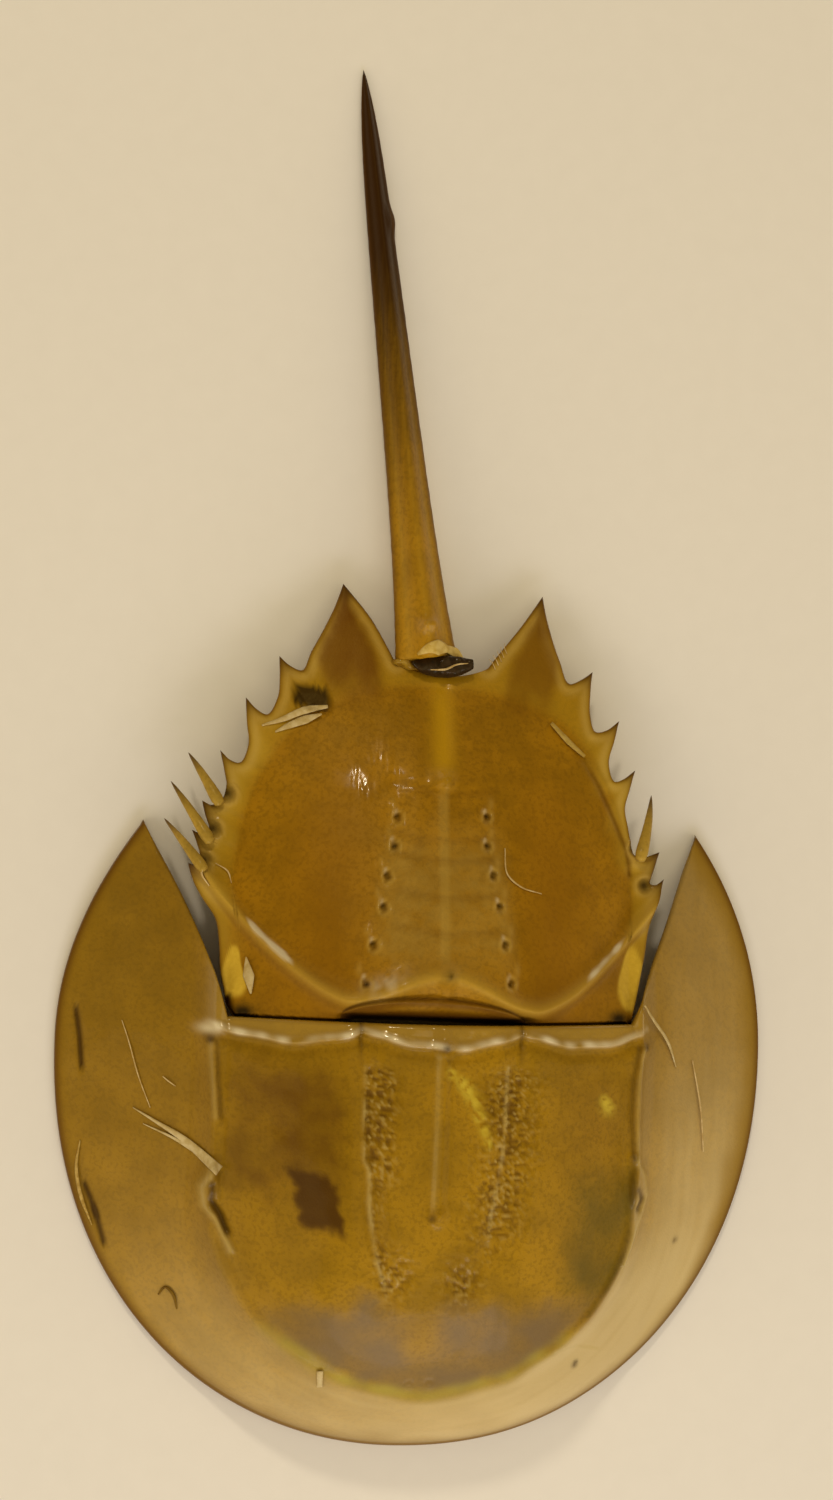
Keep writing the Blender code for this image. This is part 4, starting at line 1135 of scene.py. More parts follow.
# Painted reflection: a greyish haze on the front slope of the vault, with a gap on the midline.
axis_gap = 1.0 - 0.9 * bell(x + 1.0 * MM, 4.0 * MM) * smooth(-112.0 * MM, -103.0 * MM, y)
haze = (smooth(-94.0 * MM, -102.0 * MM, y + 2.4 * uneven + 1.6 * ragged)
        * smooth(0.8 * MM, -3.2 * MM, out + ragged) * axis_gap)
haze *= smooth(-36.0 * MM, -18.0 * MM, x) * (0.9 + 0.4 * speckle(x, y, 5.0 * MM, 49.0))
yellow = (bell(out + 0.6 * MM + uneven, 1.6 * MM) * smooth(-100.0 * MM, -107.0 * MM, y)
          * (0.7 + 0.6 * speckle(x, y, 4.0 * MM, 50.0)))
print("mean strength of the brown stain:", round(float(brown.mean()), 3))

# %% [markdown]
# Small marks are sums of bells round a point or along a line. The same lines cut the relief, so that each
# dark slit lies exactly in its groove.

# %% Flakes, slits and dark marks
flakes = np.zeros(len(x))
for flake_x, flake_y, size in ((1.4, -55.5, 0.9), (3.3, -57.0, 1.1), (4.5, -58.7, 1.2),
                               (5.8, -60.6, 1.2), (6.8, -63.2, 1.1), (7.9, -65.8, 1.0),
                               (8.7, -68.0, 0.8), (32.3, -61.8, 1.4), (31.4, -60.5, 0.8)):
    flakes += bell(np.hypot(x - flake_x * MM, y - flake_y * MM), size * MM)
flakes *= smooth(-0.35, 0.05, speckle(x, y, 1.1 * MM, 12.0))
marks = np.zeros(len(x))
# The slits by the rim and the eyes, the side seams and the nicks in the lip are painted nearly black: painted
# shade inside these cracks and grooves. The spots at the lip spines and elsewhere are dark marks of the shell
# itself.
for slit in RIM_SLITS:
    marks += 0.95 * bell(line_distance(x, y, slit), 0.5 * MM)
for slit in EYE_SLITS:
    marks += 0.9 * bell(line_distance(x, y, slit), 0.65 * MM)
for seam_line in SIDE_SEAMS:
    marks += 0.5 * bell(line_distance(x, y, seam_line), 0.5 * MM)
for spine_x, spine_y in LIP_SPINES:
    marks += 0.9 * bell(np.hypot(x - spine_x, y - spine_y - 0.2 * MM), 0.75 * MM)
for spot_x, spot_y, size in ((-1.1, -81.4, 0.8), (49.7, -87.7, 0.5), (30.0, -110.1, 0.6),
                             (30.2, -109.4, 0.4)):
    marks += 0.8 * bell(np.hypot(x - spot_x * MM, y - spot_y * MM), size * MM)
marks += 0.55 * bell(np.abs(np.abs(x) - SCALLOP_X), 0.4 * MM) * smooth(-56.0 * MM, -50.0 * MM, y)
cells = net_cells(x, y)
net = furrow_net(x, y) * smooth(0.2, 0.5, cells)
# The pale lines on the ridges of the net, along the furrows, on the eye folds, on the keel and elsewhere are
# partly the shell's pale ridges and partly painted highlights on them.
lines = furrow_net(x, y) * smooth(0.16, 0.04, cells) * 0.8
lines += 0.85 * furrow_ridge(x, y)
for fold in EYE_FOLDS:
    lines += 0.8 * bell(line_distance(x, y, fold), 0.6 * MM)
for seam_line in SIDE_SEAMS:
    lines += 0.45 * bell(line_distance(x - np.copysign(1.1 * MM, x), y, seam_line), 0.5 * MM)
lines += 0.45 * bell(x + 1.0 * MM, 0.5 * MM) * inside(y, -80.0 * MM, -52.0 * MM, 1.0 * MM)
lines += 0.8 * bell(line_distance(x, y, in_mm([(24.8, -106.8), (29.6, -106.2), (34.8, -107.3)])), 0.3 * MM)
print("mean strength of the marks:", round(float(marks.mean()), 3))

# %% [markdown]
# The rolled lip at the hinge and the rim are thicker, so they look paler or darker than the skin beside
# them. A pale wavy line along the lip's front edge is a painted highlight. The distance to each is all that
# is needed. The layers are then stored on the mesh.

# %% Lip and rim of the front shield
lead = HINGE_Y - y
on_lip = (smooth(0.0, 3.0 * MM, 41.5 * MM - np.abs(x)) * smooth(9.0 * MM, 6.0 * MM, lead)
          * smooth(10.0 * MM, 14.0 * MM, z))
# Painted light and shade: along the right edge of the vault, a dark line on its inner side and a pale line on
# its outer side.
border = (bell(out + 0.4 * MM, 0.7 * MM) * inside(y, -101.0 * MM, -72.0 * MM, 3.0 * MM)
          * smooth(20.0 * MM, 30.0 * MM, x))
marks += 0.7 * border * (0.6 + 0.8 * speckle(x, y, 4.0 * MM, 52.0))
lines += (0.7 * bell(out - 0.9 * MM, 0.7 * MM) * inside(y, -98.0 * MM, -76.0 * MM, 3.0 * MM)
          * smooth(20.0 * MM, 30.0 * MM, x))
lip = on_lip * smooth(lip_width(x) + 0.7 * MM, lip_width(x) - 0.2 * MM, lead)
# Painted highlight: a pale wavy line along the front edge of the lip, and a spot at its left end.
lip_line = (on_lip * bell(lead - lip_width(x) + 0.3 * MM, 0.55 * MM)
            * (0.55 + 1.0 * speckle(x, y, 2.6 * MM, 43.0)))
lip_line += 0.9 * bell(np.hypot((x + 40.0 * MM) * 0.5, y + 49.3 * MM), 0.9 * MM)
rim = nearest(x, y, rim_line(np.linspace(-LOBE_TIP_ANGLE, LOBE_TIP_ANGLE, 700)), 9.0 * MM)
band_width = mix(3.2, 5.5, smooth(0.1, 0.8, sideways) * smooth(-100.0 * MM, -70.0 * MM, y)) * MM
rim_band = (smooth(band_width, 0.8 * MM, rim + uneven)
            * mix(0.5, 1.0, smooth(0.1, 0.8, sideways) * smooth(-105.0 * MM, -80.0 * MM, y)))
paint(front_shield, pale=pale, dusk=dusk, brown=brown, block=block, green=green, haze=haze, yellow=yellow)
paint(front_shield, flakes=flakes, marks=marks, net=net, lines=lines, lip=lip, lip_line=lip_line)
paint(front_shield, rim_band=rim_band, rim_edge=bell(rim, 1.0 * MM), wet=lip + 0.5 * lines)
print("painted", len(x), "vertices of the front shield")

# %% [markdown]
# One function sets up what all hard pieces share. Then each painted zone is blended over the amber in turn,
# from the large pale and dark areas to the narrow lines and marks, which have to stay on top.

# %% Finish of the front shield


def shell_finish(name, base, roughness=0.3, coat=0.12):
    """What all the hard pieces share: mottled amber, a fine grain in the bump and wet places."""
    material, shader, place = start_material(name, roughness, coat)
    cloud = grain(place, 90.0, 3.0)
    fine = grain(place, 1300.0, 2.0)
    clots = grain(place, 380.0, 3.0, 0.65)
    mottled = blend_colour((cloud * 0.7 + clots * 0.3).between(0.35, 0.65),
                           rgb(*[0.84 * value for value in base]),
                           rgb(*[min(1.0, 1.16 * value) for value in base]))
    dotted = blend_colour(fine.between(0.46, 0.66) * 0.45, mottled, rgb(*[0.6 * value for value in base]))
    wet = painted(place, "wet")
    attach((fine * 0.16 + cloud * 0.1 + (roughness - 0.12) - wet * 0.16).clamped(), shader, "Roughness")
    attach((wet * 0.8 + coat).clamped(), shader, "Coat Weight")
    height = fine * 0.5 + grain(place, 2600.0, 1.0) * 0.35
    bump = place.node("ShaderNodeBump", None, {"Strength": 0.5, "Distance": 0.00012, "Height": height})
    attach(bump, shader, "Normal")
    return material, shader, place, dotted, cloud, fine


material, shader, place, colour, cloud, fine = shell_finish(
    "front_shield_amber", (0.325, 0.175, 0.005), 0.42, 0.06)
colour = blend_colour(painted(place, "pale") * (cloud * 0.25 + 0.82), colour, rgb(0.60, 0.46, 0.21))
# The first zones are painted light: painted shade at the rear, painted shadows of the legs, painted shade
# inside the right eye ridge and a painted reflection in front. The block blended after them is the darkest
# part of the leg shadows.
for zone, strength, tone in (
        ("dusk", 0.55, (0.17, 0.088, 0.002)),
        ("brown", 0.8, (0.10, 0.038, 0.003)),
        ("green", 0.8, (0.085, 0.066, 0.009)),
        ("haze", 0.85, (0.175, 0.118, 0.060)),
):
    colour = tint(colour, place, zone, strength, tone)
colour = blend_colour(painted(place, "block") * (cloud * 0.6 + 0.6).clamped(), colour,
                      rgb(0.06, 0.022, 0.002))
# Below, the pale lines are partly painted highlights, the lip line is a painted highlight, and the dark marks
# are partly painted shade in cracks and grooves.
for zone, strength, tone in (
        ("yellow", 0.75, (0.40, 0.32, 0.05)),
        ("net", 0.7, (0.10, 0.040, 0.005)),
        ("lines", 0.65, (0.52, 0.38, 0.11)),
        ("lip", 0.4, (0.46, 0.29, 0.04)),
        ("lip_line", 0.85, (0.84, 0.74, 0.50)),
        ("flakes", 0.8, (0.62, 0.47, 0.04)),
        ("rim_band", 0.85, (0.28, 0.155, 0.008)),
        ("rim_edge", 0.92, (0.12, 0.048, 0.004)),
        ("marks", 0.9, (0.035, 0.012, 0.003)),
):
    colour = tint(colour, place, zone, strength, tone)
attach(colour, shader, "Base Color")
front_shield.data.materials.append(material)
print("front shield finish has", len(material.node_tree.nodes), "nodes")

# %% [markdown]
# On the rear shield most zones are places a maker can point at: pits, sockets, spine tips, keel spines. They
# are painted in the rear shield's own plan coordinates.

# %% Pits, sockets and tips of the rear shield
x, y, z = vertex_places(rear_shield)
x, y = to_rear(x, y)
radius = border_radius(x, y)
band = smooth(0.98, 1.04, radius)
tips = np.zeros(len(x))
for side in (-1.0, 1.0):
    for tip_x, tip_y in SPINE_TIPS[side]:
        tips += bell(np.hypot(x - tip_x, y - tip_y), 2.9 * MM)
# Painted shade: the pits, the sockets and the torn hole are painted nearly black in their hollows. The same
# layer gives dark spots at the two keel spines.
holes = np.zeros(len(x))
rings = np.zeros(len(x))
# Painted highlight: a pale glint dot beside each pit.
dots = np.zeros(len(x))
for pit_x, pit_y in PITS:
    holes += bell(np.hypot(x - pit_x, y - pit_y), 0.55 * MM)
    rings += 0.7 * bell(np.hypot(x - pit_x, y - pit_y) - 1.05 * MM, 0.35 * MM)
    rings += 0.5 * bell(np.hypot(x - pit_x * 1.1, (y - pit_y - 2.4 * MM) * 0.6), 0.6 * MM)
    dots += bell(np.hypot(x - pit_x + 0.5 * MM, y - pit_y - 1.0 * MM), 0.35 * MM)
for socket_x, socket_y in SOCKETS:
    holes += bell(np.hypot(x - socket_x, y - socket_y), 1.15 * MM)
    rings += bell(np.hypot(x - socket_x, y - socket_y) - 1.9 * MM, 0.4 * MM)
holes += 0.8 * bell(np.hypot(x, y - FRONT_SPINE_Y + 0.1 * MM), 0.8 * MM)
holes += 0.7 * bell(np.hypot(x - 0.5 * MM, y - REAR_SPINE_Y + 0.6 * MM), 0.6 * MM)
holes += hole_share(x, y)
print("painted", len(PITS), "pits and", len(SOCKETS), "sockets")

# %% [markdown]
# The slot at the hinge is in deep shade, the front corners are thin and glow yellow, and a dark outline
# follows the spiny margin.

# %% Hinge slot, corners and margin
behind_lip = vertex_places(rear_shield)[1] - HINGE_Y
slot = smooth(1.7 * MM, 0.9 * MM, behind_lip) * smooth(19.0 * MM, 14.0 * MM, np.abs(x - HALF_RING_X))
slot += 0.72 * smooth(0.5 * MM, 0.2 * MM, behind_lip)
slot += 1.1 * bell(np.hypot((np.abs(x) - 34.4 * MM) * 0.7, behind_lip - 0.9 * MM), 1.5 * MM)
uneven = 0.9 * MM * speckle(x, y, 4.0 * MM, 21.0)
corner = np.zeros(len(x))
for spot_x, spot_y, half_x, half_y in ((-36.3, 6.2, 2.1, 4.6), (37.4, 9.6, 3.0, 6.0)):
    taper = half_x * mix(1.15, 0.55, smooth(spot_y * MM - 3.0 * MM, (spot_y + half_y) * MM, y)) * MM
    away = ((np.abs(x - spot_x * MM + 0.6 * uneven) / taper) ** 2.6
            + (np.abs(y - spot_y * MM + uneven) / (half_y * MM)) ** 2.6)
    corner += smooth(1.35, 0.6, away)
near_margin = [(side * line_x, line_y) for side in (-1.0, 1.0) for line_x, line_y in margins[side][0]]
margin_away = nearest(x, y, near_margin, 9.0 * MM)
outline = bell(margin_away, 0.4 * MM) * smooth(0.92, 0.98, radius)
hem = bell(margin_away - 1.3 * MM, 0.8 * MM) * smooth(0.98, 1.02, radius) * smooth(16.0 * MM, 20.0 * MM, y)
seam = bell(line_distance(x, y, BORDER_GROOVE), 0.5 * MM) * smooth(50.0 * MM, 44.0 * MM, y)
for _depth, fold_y in CROSS_FOLDS:
    seam += (0.35 * bell(y - fold_y + 0.8 * MM * np.cos(x / (5.0 * MM)), 0.6 * MM)
             * smooth(11.0 * MM, 8.0 * MM, np.abs(x)))
seam += 0.5 * bell(np.hypot(x + 5.0 * MM, y - 31.4 * MM), 1.1 * MM)
facet = (smooth(-0.5 * MM, 1.5 * MM, crest_y(x) - y) * smooth(15.0 * MM, 19.0 * MM, np.abs(x))
         * (1.0 - corner))
facet *= 0.6 + 0.7 * speckle(x, y, 4.5 * MM, 23.0)
middle = bell(x + 0.3 * MM, 2.2 * MM) * smooth(66.0 * MM, 58.0 * MM, y) * smooth(40.0 * MM, 47.0 * MM, y)
print("places along both margins:", len(near_margin))

# %% [markdown]
# The raised middle is paler than the two lobes. Pale streaks on the crest, a sheen behind it and dots beside
# the pits are painted highlights, and they are also made wet; a dark line under the crest is painted shade.

# %% Middle, crest, painted highlights and painted shade
ring = (smooth(half_ring_y(x) + 0.3 * MM, half_ring_y(x) - 0.6 * MM, y)
        * smooth(0.0, 0.5 * MM, half_ring_y(x)))
ring *= (1.0 - 0.75 * bell(y - 0.62 * half_ring_y(x), 0.55 * MM)
         * smooth(12.0 * MM, 5.0 * MM, np.abs(x - HALF_RING_X)))
# Painted shade: a dark line where the surface drops behind the half ring.
ring_line = bell(y - half_ring_y(x) - 0.2 * MM, 0.35 * MM) * smooth(0.2 * MM, 1.0 * MM, half_ring_y(x))
axis = (smooth(13.0 * MM, 9.0 * MM, np.abs(x) - 0.1 * (30.0 * MM - y))
        * inside(y, 10.0 * MM, 33.0 * MM, 6.0 * MM))
axis *= 0.75 + 0.5 * speckle(x, y * 1.6, 3.2 * MM, 55.0) + 0.3 * speckle(x, y, 1.1 * MM, 56.0)
gold = (smooth(5.5 * MM, 1.0 * MM, margin_away + 1.5 * uneven) * smooth(14.0 * MM, 20.0 * MM, np.abs(x))
        * inside(y, 10.0 * MM, 52.0 * MM, 5.0 * MM))
# Painted highlight: a speckled sheen just behind the crest, left of the middle.
sheen = (bell(np.hypot((x + 11.0 * MM) * 0.5, y - crest_y(x) - 1.6 * MM), 1.5 * MM)
         * np.clip(0.8 + 1.4 * speckle(x, y, 1.5 * MM, 57.0), 0.0, 1.3))
# Painted shade: a dark line along the front foot of the crest at the sides.
under = bell(y - crest_y(x) + 1.9 * MM, 0.7 * MM) * smooth(14.0 * MM, 19.0 * MM, np.abs(x))
deep = smooth(0.94, 0.5, radius) * smooth(8.0 * MM, 22.0 * MM, np.abs(x)) * smooth(60.0 * MM, 40.0 * MM, y)
# The crest is painted paler along its top: partly the shell's own pale ridge, partly painted light.
crest = bell(y - crest_y(x), 1.4 * MM)
# Painted highlight: pale glint streaks on the crest at both sides.
worn = bell(y - crest_y(x) - 0.8 * MM, 0.9 * MM) * (0.8 + 0.5 * speckle(x, y, 2.5 * MM, 53.0))
worn *= np.maximum(inside(x, -34.5 * MM, -26.5 * MM, 1.5 * MM),
                   0.8 * inside(x, 27.0 * MM, 35.5 * MM, 1.5 * MM))
worn = smooth(0.25, 0.75, worn)
outline += 0.7 * bell(np.hypot(x - 17.9 * MM, y - 71.9 * MM), 1.3 * MM)
keel_line = bell(x + 0.4 * MM, 0.7 * MM) * inside(y, 11.0 * MM, 42.0 * MM, 2.0 * MM)
notch_gloss = 0.7 * bell(np.hypot(x, y - 63.0 * MM), 4.0 * MM)
wet = worn + 0.8 * sheen + 0.2 * rings + glint_share(x, y) ** 2 + notch_gloss
paint(rear_shield, deep=deep, band=band, axis=axis, gold=gold, under=under, hem=hem, heart=heart_share(x, y))
paint(rear_shield, crest=crest, keel_line=keel_line, worn=worn + 0.5 * sheen + dots, wet=wet, seam=seam)
paint(rear_shield, middle=middle, corner=corner, facet=facet, ring=ring, ring_line=ring_line, rings=rings)
paint(rear_shield, outline=outline, tips=tips, holes=holes, slot=slot)
print("painted", len(x), "vertices of the rear shield")

# %% [markdown]
# The rear shield's colour is built like the front one's: deep brown in the lobes, olive in the middle, gold
# near the margin and nearly black in its holes, which is painted shade. Its pale glints are painted
# highlights.

# %% Finish of the rear shield
material, shader, place, colour, cloud, fine = shell_finish(
    "rear_shield_amber", (0.325, 0.157, 0.004), 0.42, 0.0)
# In this table the dark line under the crest is painted shade.
for zone, strength, tone in (
        ("deep", 0.6, (0.25, 0.105, 0.003)),
        ("band", 0.55, (0.40, 0.24, 0.012)),
        ("axis", 0.5, (0.42, 0.27, 0.05)),
        ("gold", 0.55, (0.50, 0.32, 0.03)),
        ("under", 0.4, (0.13, 0.05, 0.003)),
        ("hem", 0.45, (0.56, 0.38, 0.09)),
):
    colour = tint(colour, place, zone, strength, tone)
colour = blend_colour(painted(place, "heart") * (cloud * 0.5 + 0.6), colour, rgb(0.135, 0.045, 0.002))
# In this table the crest is partly painted light, and the pale glints are painted highlights.
for zone, strength, tone in (
        ("crest", 0.65, (0.48, 0.30, 0.04)),
        ("keel_line", 0.4, (0.55, 0.38, 0.08)),
        ("worn", 0.7, (0.80, 0.72, 0.52)),
        ("seam", 0.6, (0.12, 0.045, 0.004)),
        ("middle", 0.7, (0.60, 0.34, 0.008)),
):
    colour = tint(colour, place, zone, strength, tone)
colour = blend_colour(painted(place, "corner") * (fine * 0.5 + cloud * 0.6 + 0.15).clamped(), colour,
                      rgb(0.74, 0.50, 0.05))
# In this table the ring line, the holes and the slot are painted shade.
for zone, strength, tone in (
        ("facet", 0.3, (0.20, 0.085, 0.006)),
        ("ring", 0.85, (0.13, 0.05, 0.004)),
        ("ring_line", 0.8, (0.06, 0.022, 0.003)),
        ("rings", 0.7, (0.52, 0.33, 0.06)),
        ("outline", 0.7, (0.12, 0.045, 0.004)),
        ("tips", 0.85, (0.055, 0.018, 0.003)),
        ("holes", 0.93, (0.018, 0.007, 0.002)),
        ("slot", 0.97, (0.008, 0.004, 0.002)),
):
    colour = tint(colour, place, zone, strength, tone)
attach(colour, shader, "Base Color")
rear_shield.data.materials.append(material)
print("rear shield finish has", len(material.node_tree.nodes), "nodes")

# %% [markdown]
# The tail spine darkens to nearly black at its tip. The loose spines are the same clear amber as the
# margin they came from.

# %% Finish of the tail spine and the loose spines
x, y, z = vertex_places(tail_spine)
from_base = (y - TELSON_BASE.y) / (TELSON_TIP.y - TELSON_BASE.y)
half_width = 0.5 * telson_width(np.maximum(1.0 - from_base, 0.02) * (TELSON_TIP - TELSON_BASE).length)
aside = np.abs(x - mix(TELSON_BASE.x, TELSON_TIP.x, from_base)) / half_width
paint(tail_spine, wet=0.8 * bell(y - 24.0 * MM, 1.6 * MM) * smooth(0.5, 0.2, aside),
      edge=smooth(0.78, 0.98, aside),
      side=bell(aside - 0.62, 0.12), from_base=from_base,
      keel=bell(x - mix(TELSON_BASE.x, TELSON_TIP.x, from_base) - 0.2 * MM, 0.7 * MM))

material, shader, place, colour, cloud, fine = shell_finish(
    "tail_spine_brown", (0.40, 0.205, 0.008), 0.4, 0.05)
along = painted(place, "from_base")
stretched = place.node("ShaderNodeMapping", None, {"Vector": place, "Scale": (9.0, 0.6, 9.0)})
streaks = grain(stretched, 160.0, 2.0)
darkening = (along + (streaks - 0.5) * 0.16).between(0.02, 0.72)
colour = blend_colour(darkening, colour, rgb(0.030, 0.009, 0.001))
colour = blend_colour(painted(place, "keel") * (1.0 - darkening) * 0.3, colour, rgb(0.42, 0.24, 0.02))
colour = blend_colour(painted(place, "side") * (1.0 - darkening) * 0.3, colour, rgb(0.50, 0.32, 0.05))
colour = blend_colour(painted(place, "edge") * 0.55, colour, rgb(0.08, 0.028, 0.002))
attach(colour, shader, "Base Color")
tail_spine.data.materials.append(material)

for piece, (base_plan, tip_rear, _radius) in zip(loose_spines, LOOSE_SPINES.values()):
    x, y, z = vertex_places(piece)
    start = to_shell(base_plan[0] * MM, base_plan[1] * MM)
    tip = to_shell(tip_rear[0] * MM, tip_rear[1] * MM)
    reach = math.hypot(tip[0] - start[0], tip[1] - start[1])
    paint(piece, wet=0.0 * x, from_base=np.hypot(x - start[0], y - start[1]) / reach)
material, shader, place, colour, cloud, fine = shell_finish(
    "side_spine_amber", (0.44, 0.28, 0.04), 0.35, 0.1)
colour = blend_colour(painted(place, "from_base").between(0.55, 1.0) * 0.9, colour, rgb(0.06, 0.02, 0.003))
attach(colour, shader, "Base Color")
for piece in loose_spines:
    piece.data.materials.append(material)
print("side spines share one finish")

# %% [markdown]
# A dried shell keeps small things: bits of straw and hair, a torn flap beside a hole, a curled sliver along a
# crack, and at the tail joint a scrap of pale skin. Under the scrap a black piece stands for the shade in the
# open joint. Each is a thin closed strip that follows the skin under it, so it stays close to the shell from
# every side.

# %% A strip that lies on the skin
STRIP_SIDES = 10


def telson_top(x, y):
    """Height of the tail spine's upper side, for places on it."""
    share = (y - TELSON_BASE.y) / (TELSON_TIP.y - TELSON_BASE.y)
    half = 0.5 * telson_width((TELSON_TIP - TELSON_BASE).length * np.clip(1.0 - share, 0.01, 1.0))
    aside = np.abs(x - mix(TELSON_BASE.x, TELSON_TIP.x, share)) / half
    rise = np.interp(aside, [0.0, 0.16, 0.62, 1.0], [0.43, 0.41, 0.17, -0.09])
    return mix(TELSON_BASE.z, TELSON_TIP.z, share) + 2.0 * half * rise


def strip(name, top, route, widths, thickness, slot):
    """A thin strip along a route of (x, y, lift) in mm, with half widths from its start to its end."""
    points = np.array(route) * MM
    line = np.concatenate([smooth_curve(points, 0.35 * MM), points[-1:]])
    travelled = np.concatenate([[0.0], np.cumsum(np.linalg.norm(np.diff(line, axis=0), axis=1))])
    half = np.interp(travelled / travelled[-1], np.linspace(0.0, 1.0, len(widths)), widths) * MM
    ahead = np.gradient(line[:, :2], axis=0)
    ahead /= np.linalg.norm(ahead, axis=1, keepdims=True)
    aside = np.stack([-ahead[:, 1], ahead[:, 0]], axis=1)
    rows = []
    for turn in np.linspace(0.0, 2.0 * math.pi, STRIP_SIDES, endpoint=False):
        plan = line[:, :2] + aside * (half * math.cos(turn))[:, None]
        height = top(plan[:, 0], plan[:, 1]) + line[:, 2]
        thick = thickness * MM * np.minimum(1.0, half / (0.25 * MM) + 0.3)
        rows.append(np.column_stack([plan, height + thick * (0.9 + math.sin(turn))]))
    wall = np.stack(rows)
    ends = [Vector(wall[:, column].mean(axis=0).tolist()) for column in (0, -1)]
    return finish_piece(name, rolled_wall(wall, *ends))


FRONT, REAR, TAIL = "front_shield_chitin", "rear_shield_chitin", "tail_spine_chitin"
STRAWS = [
    ("bristle_right_lobe", shield_top, [(38.9, -43.4, 1.6), (42.0, -46.6, 1.2), (45.2, -50.4, 0.6),
                                        (47.4, -55.2, 0.1)],
     (0.2, 0.3, 0.3, 0.1), 0.22, FRONT),
    ("torn_wedge", shield_top, [(-52.2, -64.6, 0.0), (-48.0, -67.0, 0.2), (-43.6, -69.6, 0.3),
                                (-37.8, -74.6, 0.7)],
     (0.08, 0.35, 0.7, 1.0), 0.25, FRONT),
    ("wedge_fork", shield_top, [(-50.4, -67.4, 0.0), (-45.2, -69.6, 0.2), (-40.2, -72.4, 0.4)],
     (0.08, 0.25, 0.5), 0.2, FRONT),
    ("pale_rod", shield_top, [(-18.3, -110.4, 0.1), (-17.8, -113.7, 0.1)], (0.55, 0.5), 0.35, FRONT),
    ("stick_rear", rear_top, [(22.3, 7.3, 0.3), (25.3, 4.2, 0.3), (28.6, 1.4, 0.2)], (0.35, 0.55, 0.3),
     0.3, REAR),
    ("hole_flap", rear_top, [(-31.0, 5.2, 0.0), (-27.4, 6.4, 0.3), (-23.4, 8.2, 0.9), (-19.2, 9.0, 1.3)],
     (0.15, 0.5, 0.7, 0.3), 0.18, REAR),
    ("hole_fold", rear_top, [(-28.6, 4.1, 0.0), (-26.4, 5.2, 0.2), (-23.6, 6.4, 0.4), (-20.4, 7.6, 0.8)],
     (0.15, 0.6, 0.8, 0.15), 0.15, REAR),
    ("corner_leaf", rear_top, [(-33.9, -36.4, 0.2), (-33.6, -39.4, 0.4), (-33.2, -42.8, 0.2)],
     (0.1, 1.0, 0.15), 0.2, REAR),
]
HAIRS = [
    ("hair_left_flank", shield_top, [(-54.6, -48.9, 0.1), (-53.4, -52.5, 0.3), (-51.6, -58.6, 0.3),
                                     (-49.3, -64.4, 0.1)],
     (0.08, 0.12, 0.08), 0.1, FRONT),
    ("fibre_left_flank", shield_top, [(-47.4, -58.6, 0.1), (-46.4, -59.4, 0.4), (-45.2, -60.2, 0.2)],
     (0.1, 0.12, 0.08), 0.1, FRONT),
    ("curl_front_left", shield_top, [(-46.2, -98.8, 0.0), (-45.2, -97.2, 0.2), (-43.8, -98.4, 0.3),
                                     (-42.9, -101.2, 0.0)],
     (0.15, 0.3, 0.12), 0.15, FRONT),
    ("hair_right_flank", shield_top, [(51.0, -54.0, 0.3), (53.3, -63.4, 0.4), (54.5, -71.2, 0.3)],
     (0.12, 0.2, 0.12), 0.12, FRONT),
    ("hair_right_pits", rear_top, [(12.2, -15.6, 0.2), (12.4, -20.2, 0.2), (14.8, -22.4, 0.3),
                                   (18.8, -23.6, 0.2)],
     (0.1, 0.16, 0.1), 0.12, REAR),
    ("hair_socket_outer", rear_top, [(-41.2, -19.6, 0.3), (-41.9, -21.6, 0.5), (-40.4, -24.0, 0.2)],
     (0.1, 0.16, 0.08), 0.12, REAR),
    ("hair_socket_inner", rear_top, [(-39.2, -19.9, 0.2), (-37.0, -21.3, 0.4), (-36.3, -23.4, 0.2)],
     (0.08, 0.14, 0.08), 0.12, REAR),
]
for index, (hair_x, hair_y) in enumerate([(12.1, 17.4), (12.7, 18.2), (13.3, 18.9), (13.8, 19.7),
                                          (14.4, 20.4)]):
    route = [(hair_x, hair_y - 0.6, 0.1), (hair_x - 0.5, hair_y + 0.5, 0.5),
             (hair_x - 1.3 + 0.2 * index, hair_y + 1.3, 0.9)]
    HAIRS.append((f"notch_hair_{index + 1}", rear_top, route, (0.09, 0.07, 0.04), 0.08, REAR))
straws = [strip(*measures) for measures in STRAWS]
hairs = [strip(*measures) for measures in HAIRS]
slit_sliver = strip("slit_sliver", shield_top,
                    [(-61.0, -71.2, 0.0), (-61.5, -75.8, 0.3), (-60.6, -81.0, 0.5), (-58.3, -86.7, 0.2)],
                    (0.1, 0.3, 0.35, 0.1), 0.2, FRONT)
joint_scrap = strip("joint_scrap", telson_top,
                    [(-3.2, 19.0, 0.0), (-1.2, 20.2, 0.3), (1.9, 20.3, 0.5), (4.6, 19.5, 0.4),
                     (6.0, 18.4, 0.2)],
                    (0.2, 0.9, 1.5, 0.7, 1.0, 0.2), 0.22, TAIL)
print("loose bits:", len(straws) + len(hairs) + 2)

# %% [markdown]
# The open joint between the notch and the tail lies in deep shade, so a black crumpled piece is put there as
# painted shade. A thick strip on an uneven floor gives its folds, and a thin pale thread lies across it.

# %% The painted shade in the joint under the tail notch


def joint_floor(x, y):
    """Height of the crumpled black piece of painted shade between the notch and the tail spine."""
    return 9.8 * MM + 1.1 * MM * speckle(x, y, 1.7 * MM, 61.0) + 0.25 * (y - 17.0 * MM)


